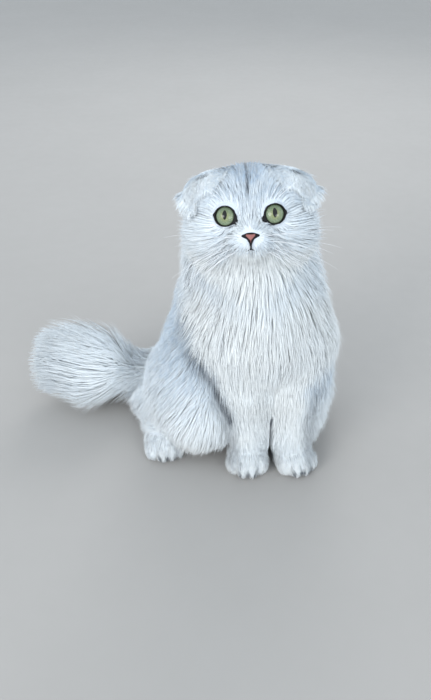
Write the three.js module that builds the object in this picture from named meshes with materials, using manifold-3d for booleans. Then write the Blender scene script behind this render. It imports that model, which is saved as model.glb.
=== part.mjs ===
// A life-size model of a longhaired, fold-eared silver cat that sits upright and looks up at its viewer.
//
// Axes: x to the viewer's right, y away from the viewer, z up, in millimetres. The cat faces the viewer, so its own
// right side is on the viewer's left. Left and right in names are the cat's own.
//
// The body is a smooth field of soft forms, eggs and limbs, each with the depth of its coat. Level 0 is the skin
// and level 1 is where the tips of the coat reach. Each sub-part has a core at a low level, and the locks of the
// long coat grow out of it to level 1.
import * as THREE from "three";
import { MeshSurfaceSampler } from "three/addons/math/MeshSurfaceSampler.js";
import { mergeVertices } from "three/addons/utils/BufferGeometryUtils.js";
import Module from "manifold-3d";

const wasm = await Module();
wasm.setup();

// Driving sizes
const GAP = 0.3;
const CORE_LEVEL = 0.48;
const SKULL_WIDTH = 90;
const SKULL_HEIGHT = 74;
const HEAD_PITCH = 17;
const HEAD_YAW = 3;
const HEAD_ROLL = 4;
const EYE_RADIUS = 11;
const EYE_SPACING = 44;
const EYE_OPENING = 8.8;
const LID_THICKNESS = 2;
const NOSE_WIDTH = 11.5;
const NOSTRIL_RADIUS = 1.2;
const MOUTH_GROOVE = 1;
const EAR_THICKNESS = 2.4;
const TUFT_LENGTH = 19;
const PAW_WIDTH = 43;
const PAW_LENGTH = 52;
const TOE_WIDTH = 15;
const TOE_LENGTH = 22;
const TOE_HEIGHT = 20;
const TOE_PITCH = 9.8;
const FACE_COAT = 3;
const CHEEK_COAT = 14;
const RUFF_COAT = 30;
const BODY_COAT = 23;
const HAUNCH_COAT = 20;
const BRUSH_COAT = 43;
const FACE_BLEND = 3.5;
const BODY_BLEND = 7;
const HAIR_SEED = 8;
const SHORTEST_COAT = 6;

// Locks: how far apart their roots are on each sub-part, then their proportions. The length and width are shares
// of that distance and the thickness is a share of the width.
const SPACING = { head: 20, neck: 23, haunch: 25, torso: 29, foreLeg: 24, tail: 25 };
const LOCK_LENGTH = 2.5;
const LOCK_WIDTH = 1.25;
const LOCK_THICKNESS = 0.18;
const LOCK_STEPS = 3;
const LOCK_ROOT = 3;
const LOCK_FLOOR = 3;
const LEAST_ROOTED = 0.06;
const MOST_CROSSING = 0.03;

// Places of the seated pose
const SKULL = [3, -42, 294];
const NAPE = [6, -34, 256];
const RUFF = [5, -14, 236];
const NECK_BASE = [16, -24, 206];
const WITHERS = [-4, 0, 180];
const CHEST = [24, -28, 160];
const BARREL = [-6, 6, 114];
const PELVIS = [-12, 38, 62];
const FRONT_LEGS = {
  right: { shoulder: [-8, -42, 140], elbow: [2, -56, 96], wrist: [8, -70, 34], paw: [6, -80, 0], turn: 0 },
  left: { shoulder: [62, -36, 140], elbow: [60, -54, 96], wrist: [56, -68, 34], paw: [60, -78, 0], turn: 16 },
};
const HIND_LEGS = {
  right: { hip: [-62, -2, 52], knee: [-56, -46, 42], hock: [-112, 20, 15], paw: [-91, -54, 0], turn: 14, side: -1 },
  left: { hip: [55, 14, 52], knee: [54, -30, 44], hock: [78, 40, 15], paw: [68, -24, 0], turn: 8, side: 1 },
};
const TAIL = [
  { at: [-36, 70, 40], radius: 13, coat: 12 },
  { at: [-84, 62, 34], radius: 12, coat: 14 },
  { at: [-136, 52, 42], radius: 12, coat: 20 },
  { at: [-178, 45, 51], radius: 12, coat: BRUSH_COAT - 2 },
  { at: [-208, 40, 53], radius: 12, coat: BRUSH_COAT },
];

const SILVER_WHITE = { color: 0xe9edf2, roughness: 0.85 };
const SILVER_BLUE = { color: 0xc3ccd8, roughness: 0.85 };
const EYE_GREEN = { color: 0xa3b88a, roughness: 0.1 };
const NOSE_PINK = { color: 0xc98a80, roughness: 0.5 };

const vec = (p) => (p.isVector3 ? p.clone() : new THREE.Vector3(...p));
const deg = THREE.MathUtils.degToRad;
const Y = vec([0, 1, 0]);
const Z = vec([0, 0, 1]);

// The head's own frame: x to the viewer's right, y back through the skull, z to the crown.
const headTurn = new THREE.Euler(deg(-HEAD_PITCH), deg(-HEAD_ROLL), deg(-HEAD_YAW), "ZXY");
const headFrame = new THREE.Matrix4().makeRotationFromEuler(headTurn).setPosition(...SKULL);
const headInverse = headFrame.clone().invert();
const onHead = (x, y, z) => new THREE.Vector3(x, y, z).applyMatrix4(headFrame);

// A rounded form of three radii, turned about the vertical, or set in the head's frame.
function egg(centre, radii, coat, lie, { turn = 0, ofHead = false } = {}) {
  const [rx, ry, rz] = radii;
  const cos = Math.cos(deg(turn));
  const sin = Math.sin(deg(turn));
  const q = new THREE.Vector3();
  const distance = (p, level) => {
    q.copy(p);
    if (ofHead) q.applyMatrix4(headInverse);
    const [dx, dy, dz] = [q.x - centre[0], q.y - centre[1], q.z - centre[2]];
    const [x, y, z] = [(dx * cos + dy * sin) / rx, (dy * cos - dx * sin) / ry, dz / rz];
    const k0 = Math.hypot(x, y, z);
    const k1 = Math.hypot(x / rx, y / ry, z / rz);
    return (k1 > 0 ? (k0 * (k0 - 1)) / k1 : -Math.min(...radii)) - level * coat;
  };
  return { distance, lie };
}

// A rod whose radius and coat change evenly from one end to the other, with its coat lying towards the far end.
function limb(from, to, radii, coats, { ofHead = false, lie = null } = {}) {
  const start = vec(from);
  const along = vec(to).sub(start);
  const q = new THREE.Vector3();
  const distance = (p, level) => {
    q.copy(p);
    if (ofHead) q.applyMatrix4(headInverse);
    q.sub(start);
    const t = THREE.MathUtils.clamp(q.dot(along) / along.lengthSq(), 0, 1);
    q.addScaledVector(along, -t);
    return q.length() - THREE.MathUtils.lerp(...radii, t) - level * THREE.MathUtils.lerp(...coats, t);
  };
  const farEnd = along.clone().normalize();
  return { distance, lie: lie ?? (() => farEnd) };
}

// Several forms melted into one.
function melted(forms, blend) {
  const distance = (p, level) => {
    let sum = 0;
    for (const form of forms) sum += Math.exp(-form.distance(p, level) / blend);
    return sum > 1e-200 ? -blend * Math.log(sum) : 400;
  };
  const lie = (p, level) => {
    const way = new THREE.Vector3();
    for (const form of forms) {
      way.addScaledVector(form.lie(p, level), Math.exp(-form.distance(p, level) / blend));
    }
    return way.normalize();
  };
  return { distance, lie };
}

// The ways that the coat lies
const noseTip = onHead(0, -50, -14);
const towards = (...way) => {
  const unit = vec(way).normalize();
  return () => unit;
};
const backFromNose = (p) => vec(p).sub(noseTip).normalize();
const DOWN_CHEST = towards(0, 0.05, -1);
const DOWN_BACK = towards(-0.15, 0.35, -1);

const inHead = { ofHead: true };
const bothSides = (make) => [make(-1), make(1)];
const headField = melted(
  [
    egg([0, 8, 4], [SKULL_WIDTH / 2, 40, SKULL_HEIGHT / 2], 6.5, backFromNose, inHead),
    egg([0, -12, 10], [SKULL_WIDTH * 0.36, 22, 22], 3.5, backFromNose, inHead),
    ...bothSides((s) => egg([s * 29, -2, -15], [24, 26, 23], CHEEK_COAT, backFromNose, inHead)),
    ...bothSides((s) => egg([s * 20, -20, 8], [13, 9, 12], 2, backFromNose, inHead)),
    ...bothSides((s) => egg([s * 8.5, -34, -20], [10.5, 10.5, 9], 1.5, backFromNose, inHead)),
    limb([0, -24, 4], [0, -39, -11], [8, 5], [1.5, 1.5], { ofHead: true, lie: backFromNose }),
    egg([0, -29, -29], [10, 10, 7], FACE_COAT, backFromNose, inHead),
  ],
  FACE_BLEND,
);

const trunkField = melted(
  [
    headField,
    limb(NECK_BASE, NAPE, [43, 32], [RUFF_COAT, RUFF_COAT / 2], { lie: DOWN_CHEST }),
    egg(RUFF, [50, 34, 44], RUFF_COAT - 6, DOWN_CHEST),
    egg(WITHERS, [46, 42, 42], BODY_COAT, DOWN_BACK),
    egg(CHEST, [48, 44, 56], BODY_COAT, DOWN_CHEST, { turn: 12 }),
    egg(BARREL, [58, 56, 60], BODY_COAT, DOWN_BACK, { turn: 15 }),
    egg(PELVIS, [62, 52, 56], BODY_COAT, DOWN_BACK, { turn: 15 }),
  ],
  BODY_BLEND,
);

const haunchField = ({ hip, knee, hock, turn, side }) =>
  melted(
    [
      egg(hip, [38, 56, 50], HAUNCH_COAT, towards(side * 0.35, -0.15, -1), { turn }),
      limb(knee, hock, [28, 12], [HAUNCH_COAT, 15], { lie: towards(side * 0.3, 0.1, -1) }),
    ],
    BODY_BLEND,
  );

const foreLegField = ({ shoulder, elbow, wrist }) =>
  melted([limb(shoulder, elbow, [29, 23], [12, 9]), limb(elbow, wrist, [22, 16], [8, 5])], BODY_BLEND);

const onPaw = ({ paw, turn }, x, y, z) => vec([x, y, z]).applyAxisAngle(Z, deg(turn)).add(vec(paw));

function pawField(leg) {
  const forward = towards(Math.sin(deg(leg.turn)), -Math.cos(deg(leg.turn)), -0.4);
  const radii = [PAW_WIDTH / 2 - 3, PAW_LENGTH / 2 - 5, 12];
  const pad = egg(onPaw(leg, 0, 3, 13).toArray(), radii, FACE_COAT, forward, leg);
  const heel = leg.hock ? [limb(onPaw(leg, 0, 8, 14), leg.hock, [14, 13], [4, 6])] : [];
  return melted([pad, ...heel], FACE_BLEND);
}

const tailField = melted(
  TAIL.slice(1).map((end, i) => {
    const start = TAIL[i];
    return limb(start.at, end.at, [start.radius, end.radius], [start.coat, end.coat]);
  }),
  BODY_BLEND,
);

const bodyField = melted(
  [
    trunkField,
    tailField,
    ...Object.values(HIND_LEGS).map(haunchField),
    ...Object.values(FRONT_LEGS).map(foreLegField),
  ],
  BODY_BLEND,
);

// Moves every vertex of a closed geometry to where `put` says, and makes it a solid.
function moulded(geometry, put) {
  geometry.deleteAttribute("normal");
  geometry.deleteAttribute("uv");
  const merged = mergeVertices(geometry, 1e-5);
  const spots = merged.attributes.position;
  const spot = new THREE.Vector3();
  for (let i = 0; i < spots.count; i++) spots.setXYZ(i, ...put(spot.fromBufferAttribute(spots, i)));
  const mesh = new wasm.Mesh({
    numProp: 3,
    vertProperties: spots.array,
    triVerts: new Uint32Array(merged.index.array),
  });
  return new wasm.Manifold(mesh);
}

const solid = (geometry) => moulded(geometry, (spot) => spot);

// The surface of a field: a sphere's grid cast outwards from a line inside the field, with the sphere's poles past
// the two ends of the line. A `crowd` above 1 draws the first end more finely, and `swell` grows the surface.
function drawn(field, line, { rings, sides, level = CORE_LEVEL, crowd = 1, swell = 0, reach = 130 }) {
  const [start, end] = line.map(vec);
  const forward = end.clone().sub(start).normalize();
  const across = new THREE.Vector3().crossVectors(forward, Math.abs(forward.z) > 0.8 ? Y : Z).normalize();
  const over = new THREE.Vector3().crossVectors(forward, across);
  const inside = (p) => field.distance(p, level) < swell;
  return moulded(new THREE.SphereGeometry(1, sides, rings), (spot) => {
    const polar = Math.PI * (Math.acos(THREE.MathUtils.clamp(spot.y, -1, 1)) / Math.PI) ** crowd;
    const around = Math.atan2(spot.z, spot.x);
    const way = forward.clone().multiplyScalar(-Math.cos(polar));
    way.addScaledVector(across, Math.sin(polar) * Math.cos(around));
    way.addScaledVector(over, Math.sin(polar) * Math.sin(around));
    const from = start.clone().lerp(end, (1 - Math.cos(polar)) / 2);
    return lastInside(inside, from, way, reach);
  });
}

function lastInside(inside, from, way, reach) {
  const at = (r) => from.clone().addScaledVector(way, r);
  const stride = 2.5;
  let near = 0;
  while (near + stride < reach && inside(at(near + stride))) near += stride;
  let far = near + stride;
  for (let halving = 0; halving < 10; halving++) {
    const middle = (near + far) / 2;
    if (inside(at(middle))) near = middle;
    else far = middle;
  }
  return at(near);
}

// The surface of a field and the same surface grown by the gap.
const withEnvelope = (field, line, grid) => [drawn(field, line, grid), drawn(field, line, { ...grid, swell: GAP })];

// All that lies beyond a plane.
function beyond(point, normal) {
  const half = new THREE.BoxGeometry(1200, 1200, 1200).translate(0, 0, 600);
  half.applyQuaternion(new THREE.Quaternion().setFromUnitVectors(Z, vec(normal).normalize()));
  return solid(half.translate(...vec(point)));
}

const abovePlane = (point, normal) => beyond(vec(point).addScaledVector(vec(normal).normalize(), GAP / 2), normal);
const belowPlane = (point, normal) => abovePlane(point, vec(normal).negate());
const NAPE_PLANE = [NAPE, [0, -0.3, 0.95]];
const NECK_PLANE = [NECK_BASE, [-0.15, -0.15, 0.98]];
const ROOM = beyond([0, 0, 0], [0, 0, 1]);

// The locks of the long coat
function seeded(seed) {
  let state = seed;
  return () => {
    state = (state * 16807) % 2147483647;
    return state / 2147483647;
  };
}
const random = seeded(HAIR_SEED);
const between = (low, high) => low + (high - low) * random();

function outward(p, level) {
  const tap = 0.5;
  const slope = ["x", "y", "z"].map((axis) => {
    const near = p.clone();
    const far = p.clone();
    near[axis] -= tap;
    far[axis] += tap;
    return bodyField.distance(far, level) - bodyField.distance(near, level);
  });
  return vec(slope).normalize();
}

const coatAt = (p) => bodyField.distance(p, 0) - bodyField.distance(p, 1);
const levelAt = (p) => THREE.MathUtils.clamp(bodyField.distance(p, 0) / coatAt(p), 0.1, 1);

// A lock starts below the core's surface and follows the lie while it rises to the tips of the coat.
function trail(root, length, tipLevel, sway) {
  const first = levelAt(root);
  const p = root.clone();
  const path = [];
  for (let step = 0; step <= LOCK_STEPS; step++) {
    const level = THREE.MathUtils.lerp(first, tipLevel, (step / LOCK_STEPS) ** 0.8);
    for (let pass = 0; pass < 3; pass++) p.addScaledVector(outward(p, level), -bodyField.distance(p, level));
    p.z = Math.max(p.z, LOCK_FLOOR);
    const out = outward(p, level);
    const along = bodyField.lie(p, level);
    along.addScaledVector(out, -along.dot(out)).normalize().applyAxisAngle(out, sway * (step / LOCK_STEPS - 0.4));
    path.push({ at: p.clone(), out, along });
    p.addScaledVector(along, length / LOCK_STEPS);
  }
  path[0].at.addScaledVector(path[0].out, -LOCK_ROOT);
  path[LOCK_STEPS].along = path[LOCK_STEPS].at.clone().sub(path[LOCK_STEPS - 1].at).normalize();
  return path;
}

// A flat, keeled taper along a path, broadest a third of the way out.
function lock(path, width, swell) {
  return moulded(new THREE.ConeGeometry(1, 1, 3, LOCK_STEPS), (spot) => {
    const t = spot.y + 0.5;
    const { at, out, along } = path[Math.round(t * LOCK_STEPS)];
    const across = new THREE.Vector3().crossVectors(out, along);
    const rim = t < 0.999 ? 1 / (1 - t) : 0;
    const half = (width / 2) * Math.sin(Math.PI * (0.25 + 0.75 * t)) + swell * 9;
    const thick = width * LOCK_THICKNESS * (1 - t) ** 0.5 + swell * 6;
    const p = at.clone().addScaledVector(across, -(spot.x * rim * half) / 0.866);
    p.addScaledVector(out, (spot.z * rim * thick * 2) / 3);
    return p.addScaledVector(along, swell * (5 * t - 1));
  });
}

// Each node keeps clear of the nodes placed before it, whose envelopes are their own shapes grown by the gap.
const placed = [];
const share = (hair, other) => hair.intersect(other).volume() / hair.volume();

function isGentle(last, { at, out, along }) {
  const stride = at.clone().sub(last.at).normalize();
  return Math.min(stride.dot(last.along), stride.dot(along), last.out.dot(out)) > 0.75;
}

// Locks all over the long-haired part of a core, at least `spacing` apart. A lock that would run into an earlier
// node is left out, since that node's own locks hang over the place.
function coatOf(core, spacing) {
  const sampler = new MeshSurfaceSampler(meshOf({ body: core })).setRandomGenerator(random).build();
  const roots = [];
  const root = new THREE.Vector3();
  const tries = (40 * core.surfaceArea()) / spacing ** 2;
  for (let i = 0; i < tries; i++) {
    sampler.sample(root);
    const buried = bodyField.distance(root, CORE_LEVEL) < -4;
    const onTip = outward(root, CORE_LEVEL).dot(bodyField.lie(root, CORE_LEVEL)) > 0.8;
    if (buried || onTip || root.z < LOCK_FLOOR || coatAt(root) < SHORTEST_COAT) continue;
    if (roots.every((other) => other.distanceTo(root) > spacing)) roots.push(root.clone());
  }
  const isSmooth = (path) => path.every((point, i) => i === 0 || isGentle(path[i - 1], point));
  const locks = [];
  for (const start of roots) {
    const length = spacing * LOCK_LENGTH * between(0.85, 1.15);
    const width = spacing * LOCK_WIDTH * between(0.85, 1.15);
    const path = trail(start, length, between(0.92, 1.03), between(-0.6, 0.6));
    if (isSmooth(path)) locks.push({ solid: lock(path, width, 0), envelope: lock(path, width, GAP) });
  }
  const isWhole = (hair) => share(hair.solid, hair.envelope) > 0.99999;
  const isRooted = (hair) => share(hair.solid, core) > LEAST_ROOTED;
  const isClear = (hair) => placed.every(({ envelope }) => share(hair.solid, envelope) < MOST_CROSSING);
  return locks.filter((hair) => isWhole(hair) && isRooted(hair) && isClear(hair));
}

function place(name, look, core, ownEnvelope, locks = []) {
  let body = wasm.Manifold.union([core, ...locks.map((hair) => hair.solid)]).intersect(ROOM);
  for (const earlier of placed) body = body.subtract(earlier.envelope);
  const pieces = body.decompose().sort((a, b) => b.volume() - a.volume());
  const envelope = wasm.Manifold.union([ownEnvelope, ...locks.map((hair) => hair.envelope)]);
  placed.push({ name, look, body: pieces[0], envelope });
}

function meshOf({ name, look, body }) {
  const { vertProperties, triVerts, numProp } = body.getMesh();
  const geometry = new THREE.BufferGeometry();
  geometry.setAttribute("position", new THREE.BufferAttribute(vertProperties, numProp));
  geometry.setIndex(new THREE.BufferAttribute(triVerts, 1));
  geometry.computeVertexNormals();
  const mesh = new THREE.Mesh(geometry, new THREE.MeshStandardMaterial({ ...look, metalness: 0 }));
  mesh.name = name ?? "";
  return mesh;
}

// Eyes and lids. A lid is a ring round the opening of the eye, drawn out to a tear corner beside the nose.
const eyeOnHead = (side) => vec([side * (EYE_SPACING / 2 - 1), -29.5, 3]);
const eyeFacing = (side) => vec([side * 0.22, -0.95, 0.12]).normalize();
const eyeCentre = (side) => eyeOnHead(side).applyMatrix4(headFrame);
const eyeball = (side, radius) => solid(new THREE.SphereGeometry(radius, 12, 8).translate(...eyeCentre(side)));

function lid(side) {
  const frame = new THREE.Matrix4().lookAt(vec([0, 0, 0]), eyeFacing(side).negate(), Z);
  const depth = Math.sqrt(EYE_RADIUS ** 2 - EYE_OPENING ** 2);
  const ring = new THREE.TorusGeometry(EYE_OPENING + LID_THICKNESS * 0.7, LID_THICKNESS, 5, 14);
  const corner = (angle, at, length) => length * Math.exp(18 * (Math.cos(angle - at) - 1));
  return moulded(ring, (spot) => {
    const angle = Math.atan2(spot.y, spot.x * side);
    const tear = corner(angle, -2.75, 3.4);
    const spread = 1 + (tear + corner(angle, 0.1, 1.4)) / EYE_OPENING;
    const lidPoint = vec([spot.x * spread * 1.06, spot.y * spread, spot.z + depth - tear * 0.3]);
    return lidPoint.applyMatrix4(frame).add(eyeOnHead(side)).applyMatrix4(headFrame);
  });
}

// The orbit frees the front of the eyeball from the brow and the cheek.
function orbit(side) {
  const centre = eyeOnHead(side).addScaledVector(eyeFacing(side), EYE_RADIUS);
  const hollow = new THREE.SphereGeometry(EYE_OPENING + LID_THICKNESS * 0.8, 10, 7);
  return solid(hollow.translate(...centre).applyMatrix4(headFrame));
}

// The nose leather is a rounded wedge, broad at the top, with a nostril at each side.
const noseOnHead = vec([0, -45.5, -14.5]);
function noseWedge(swell) {
  return moulded(new THREE.SphereGeometry(1, 10, 7), (spot) => {
    const half = (NOSE_WIDTH / 2) * (0.72 + 0.34 * spot.y) + swell;
    const nosePoint = vec([spot.x * half, -spot.z * (4 + swell), spot.y * (3.9 + swell)]);
    return nosePoint.add(noseOnHead).applyMatrix4(headFrame);
  });
}
const nostril = (side) => {
  const pit = new THREE.SphereGeometry(NOSTRIL_RADIUS, 6, 4).scale(1.3, 2.2, 0.8);
  return solid(pit.translate(side * 3.6, noseOnHead.y - 3, noseOnHead.z).applyMatrix4(headFrame));
};

// The line of the mouth is a groove from under the nose that forks along both lips.
function groove(points) {
  const corners = [0, 1, 2, 3].map((i) => (i * Math.PI) / 2);
  const section = new THREE.Shape(
    corners.map((a) => new THREE.Vector2(Math.cos(a), Math.sin(a)).multiplyScalar(MOUTH_GROOVE)),
  );
  const path = new THREE.CatmullRomCurve3(points.map((p) => onHead(...p)));
  return solid(new THREE.ExtrudeGeometry(section, { extrudePath: path, steps: 3, bevelEnabled: false }));
}
const mouth = [
  groove([[0, -50, -16], [0, -49.5, -20], [0, -47, -25]]),
  ...bothSides((s) => groove([[s * 0.2, -48, -24], [s * 5, -47, -28.5], [s * 11, -41, -30], [s * 15, -33, -28]])),
];

// A folded ear rises from the skull, bends over at its crest and hangs forwards to its tip, with the cup beneath.
const EAR_ROWS = [
  { inner: [15, 8, 31], outer: [46, 12, 4] },
  { inner: [20, 4, 41], outer: [57, 8, 16] },
  { inner: [24, -3, 45], outer: [61, 0, 25] },
  { inner: [27, -15, 43], outer: [60, -11, 21] },
  { inner: [33, -26, 34], outer: [51, -23, 21] },
];
const EAR_TUFTS = [[0.08, 9], [0.22, 5], [0.36, 2]];

// The point of the ear `u` of the way from its inner to its outer edge and `v` from its base to its tip.
function onEar(side, u, v, depth) {
  const sheet = (a, b) => {
    const arch = vec([3, 0, 5]).multiplyScalar(4 * a * (1 - a));
    const rows = EAR_ROWS.map(({ inner, outer }) => vec(inner).lerp(vec(outer), a).add(arch));
    const p = new THREE.CatmullRomCurve3(rows).getPoint(THREE.MathUtils.clamp(b, 0, 1));
    return p.setX(p.x * side);
  };
  const alongU = sheet(u + 0.01, v).sub(sheet(u - 0.01, v));
  const alongV = sheet(u, v + 0.01).sub(sheet(u, v - 0.01));
  return sheet(u, v).addScaledVector(alongU.cross(alongV).normalize(), depth).applyMatrix4(headFrame);
}

// The long hairs of the cup stand out sideways from under the flap.
function earTuft(side, v, drop) {
  const start = onEar(side, 0.8, v, 0);
  const along = onEar(side, 1, v, 0).sub(start).setZ(-drop).normalize();
  const out = onEar(side, 0.8, v, 1).sub(start).multiplyScalar(side);
  out.addScaledVector(along, -out.dot(along)).normalize();
  const path = Array.from({ length: LOCK_STEPS + 1 }, (_, step) => {
    const at = start.clone().addScaledVector(along, (step / LOCK_STEPS) * TUFT_LENGTH);
    return { at: at.addScaledVector(Z, -step * step * 0.5), out, along };
  });
  return lock(path, TUFT_LENGTH / 3, 0);
}

function ear(side) {
  const flap = moulded(new THREE.BoxGeometry(1, 1, 1, 6, 8, 1), ({ x, y, z }) => {
    return onEar(side, x + 0.5, y + 0.5, z * EAR_THICKNESS);
  });
  const tufts = EAR_TUFTS.map(([v, drop]) => earTuft(side, v, drop));
  return wasm.Manifold.union([flap, ...tufts]);
}

for (const [name, side] of [["right", -1], ["left", 1]]) {
  place(`eye_${name}`, EYE_GREEN, eyeball(side, EYE_RADIUS), eyeball(side, EYE_RADIUS + GAP));
}
place("nose", NOSE_PINK, noseWedge(0).subtract(nostril(-1)).subtract(nostril(1)), noseWedge(GAP));

// A paw is a rounded pad with four toes across its front.
function toe(leg, step, swell) {
  const setBack = Math.abs(step) > 1 ? 6 : 0;
  const radii = [TOE_WIDTH / 2 + swell, TOE_LENGTH / 2 + swell, TOE_HEIGHT / 2 + swell];
  const ball = new THREE.SphereGeometry(1, 7, 5).scale(...radii).rotateZ(deg(leg.turn));
  const spot = onPaw(leg, step * TOE_PITCH, (TOE_LENGTH - PAW_LENGTH) / 2 + setBack, TOE_HEIGHT / 2 - 1);
  return solid(ball.translate(...spot));
}
const toes = (leg, swell) => [-1.5, -0.5, 0.5, 1.5].map((step) => toe(leg, step, swell));

for (const [kind, legs] of [["front", FRONT_LEGS], ["hind", HIND_LEGS]]) {
  for (const [name, leg] of Object.entries(legs)) {
    const line = [onPaw(leg, 0, -6, 11), leg.hock ?? onPaw(leg, 0, 8, 14)];
    const [pad, padEnvelope] = withEnvelope(pawField(leg), line, { rings: 7, sides: 11 });
    const envelope = wasm.Manifold.union([padEnvelope, ...toes(leg, GAP)]);
    place(`${kind}_paw_${name}`, SILVER_WHITE, wasm.Manifold.union([pad, ...toes(leg, 0)]), envelope);
  }
}

const headLine = [onHead(0, -26, -6), onHead(0, 12, 0)];
const [headCore, headEnvelope] = withEnvelope(trunkField, headLine, { rings: 20, sides: 24, crowd: 1.25 });
const sockets = headCore.subtract(orbit(-1)).subtract(orbit(1));
const face = mouth.reduce((body, line) => body.subtract(line), wasm.Manifold.union([sockets, lid(-1), lid(1)]));
const aboveNape = abovePlane(...NAPE_PLANE);
const headHair = coatOf(headCore.intersect(aboveNape), SPACING.head);
place("head", SILVER_WHITE, face.intersect(aboveNape), headEnvelope.intersect(aboveNape), headHair);
place("ear_right", SILVER_BLUE, ear(-1), ear(-1));
place("ear_left", SILVER_BLUE, ear(1), ear(1));

const neckSlab = belowPlane(...NAPE_PLANE).intersect(abovePlane(...NECK_PLANE));
const neckCore = drawn(trunkField, [NAPE, NECK_BASE], { rings: 8, sides: 20 }).intersect(neckSlab);
place("neck", SILVER_WHITE, neckCore, neckCore, coatOf(neckCore, SPACING.neck));

for (const [name, leg] of Object.entries(HIND_LEGS)) {
  const line = [vec(leg.hip).lerp(vec(leg.knee), 0.6), vec(leg.hip).add(vec([0, 14, -4]))];
  const [haunch, haunchEnvelope] = withEnvelope(haunchField(leg), line, { rings: 10, sides: 16 });
  place(`hind_leg_${name}`, SILVER_BLUE, haunch, haunchEnvelope, coatOf(haunch, SPACING.haunch));
}

const [torsoCore, torsoEnvelope] = withEnvelope(trunkField, [CHEST, PELVIS], { rings: 14, sides: 20 });
const torso = torsoCore.intersect(belowPlane(...NECK_PLANE));
place("torso", SILVER_WHITE, torso, torsoEnvelope, coatOf(torso, SPACING.torso));

for (const [name, leg] of Object.entries(FRONT_LEGS)) {
  const [foreLeg, foreLegEnvelope] = withEnvelope(foreLegField(leg), [leg.elbow, leg.wrist], { rings: 8, sides: 12 });
  place(`front_leg_${name}`, SILVER_WHITE, foreLeg, foreLegEnvelope, coatOf(foreLeg, SPACING.foreLeg));
}

const [tail, tailEnvelope] = withEnvelope(tailField, [TAIL[1].at, TAIL[4].at], { rings: 12, sides: 12 });
place("tail", SILVER_WHITE, tail, tailEnvelope, coatOf(tail, SPACING.tail));

// The group stands on the floor, with its origin under the middle of its box.
const cat = new THREE.Group();
cat.add(...placed.map(meshOf));
const box = new THREE.Box3().setFromObject(cat);
cat.position.set(-(box.min.x + box.max.x) / 2, -(box.min.y + box.max.y) / 2, -box.min.z);
export default cat;
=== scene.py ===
"""A life-size longhaired, fold-eared silver cat that sits and looks up.

Shapes are written in millimetres in the cat's working frame: x to the viewer's right, y away from the viewer
and z up. They are moved into the part's frame when a mesh is made. Left and right in names are the cat's own,
and a side is -1 for its right and 1 for its left.
"""
import math
from collections import namedtuple

import bpy
import numpy as np
from mathutils import Matrix, Vector
from mathutils.kdtree import KDTree


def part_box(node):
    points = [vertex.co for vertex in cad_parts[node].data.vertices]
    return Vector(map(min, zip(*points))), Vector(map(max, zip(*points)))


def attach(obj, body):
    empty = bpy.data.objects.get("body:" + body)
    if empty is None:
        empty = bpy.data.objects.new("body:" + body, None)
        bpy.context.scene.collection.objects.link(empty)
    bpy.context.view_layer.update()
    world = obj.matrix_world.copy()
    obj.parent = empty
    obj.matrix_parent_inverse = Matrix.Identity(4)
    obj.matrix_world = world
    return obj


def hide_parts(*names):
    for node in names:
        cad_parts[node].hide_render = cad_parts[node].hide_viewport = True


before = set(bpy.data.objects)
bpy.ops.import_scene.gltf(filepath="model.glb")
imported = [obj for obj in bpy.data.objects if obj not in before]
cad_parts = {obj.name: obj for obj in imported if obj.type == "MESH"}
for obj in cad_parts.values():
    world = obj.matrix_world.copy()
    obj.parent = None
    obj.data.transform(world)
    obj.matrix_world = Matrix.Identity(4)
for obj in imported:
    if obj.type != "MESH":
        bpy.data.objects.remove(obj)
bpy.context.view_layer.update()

# Sizes of the head and what it carries
SKULL_WIDTH = 90
SKULL_HEIGHT = 74
HEAD_PITCH = 17
HEAD_YAW = 3
HEAD_ROLL = 4
EYE_RADIUS = 11
EYE_SPACING = 44
LID_RADIUS = 1.4
LID_HEIGHT = 6.2
IRIS_RADIUS = 8.55
IRIS_MAP = 20
PUPIL_WIDTH = 4
PUPIL_HEIGHT = 8.4
PUPIL_RAISED = 1.2
PUPIL_INWARDS = 0.8
CORNEA_BULGE = 0.045
RIM_WIDTH = 20.8
RIM_HEIGHT = 19
TEAR_CORNER = 2.7
OUTER_CORNER = 1.0
MOUTH_GROOVE = 1
EAR_THICKNESS = 1.6
EAR_SPAN = 40
EAR_ARC = 52
EAR_CLEARANCE = 3.5
WHISKER_RADIUS = 0.32
WHISKER_SIDES = 6

# Sizes of the paws
PAW_WIDTH = 43
PAW_LENGTH = 52
TOE_SIZE = (15, 22, 20)
TOE_PITCH = 9.8
OUTER_TOE_SETBACK = 6

# Depths of the coat
TOE_COAT = 2.2
FACE_COAT = 3
CHEEK_COAT = 14
RUFF_COAT = 30
BODY_COAT = 23
HAUNCH_COAT = 20
BRUSH_COAT = 43

# How softly forms melt together
TOE_BLEND = 1.2
PAW_BLEND = 3.5
FACE_BLEND = 3.5
BODY_BLEND = 7
ORBIT_BLEND = 0.5
LID_BLEND = 0.8
GROOVE_BLEND = 0.4
NOSE_BLEND = 0.8
NOSTRIL_BLEND = 0.25

# The skin lies at this level of the coat, where 0 is flesh and 1 is the coat's outline
SKIN_LEVEL = 0.3
SKIN_CELL = 2.6
NOSE_CELL = 0.42
SKIN_BOX = ((-275, -125, -4), (125, 145, 350))
SKIN_OFF_FLOOR = 1.5

# Tufts: shares of all, thickness as a share of width, and the size of each one's patch on the unwrap
HAIR_SEED = 7
ROOT_SINK = 0.06
GUARD_SHARE = 0.16
LOCK_SIZE = 16
TUFT_THICKNESS = 0.38
TUFT_PATCH = 0.003
TUFT_OFF_FLOOR = 0.8
EAR_TUFTS = 6000
PIECE_TRIANGLES = 190000

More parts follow.
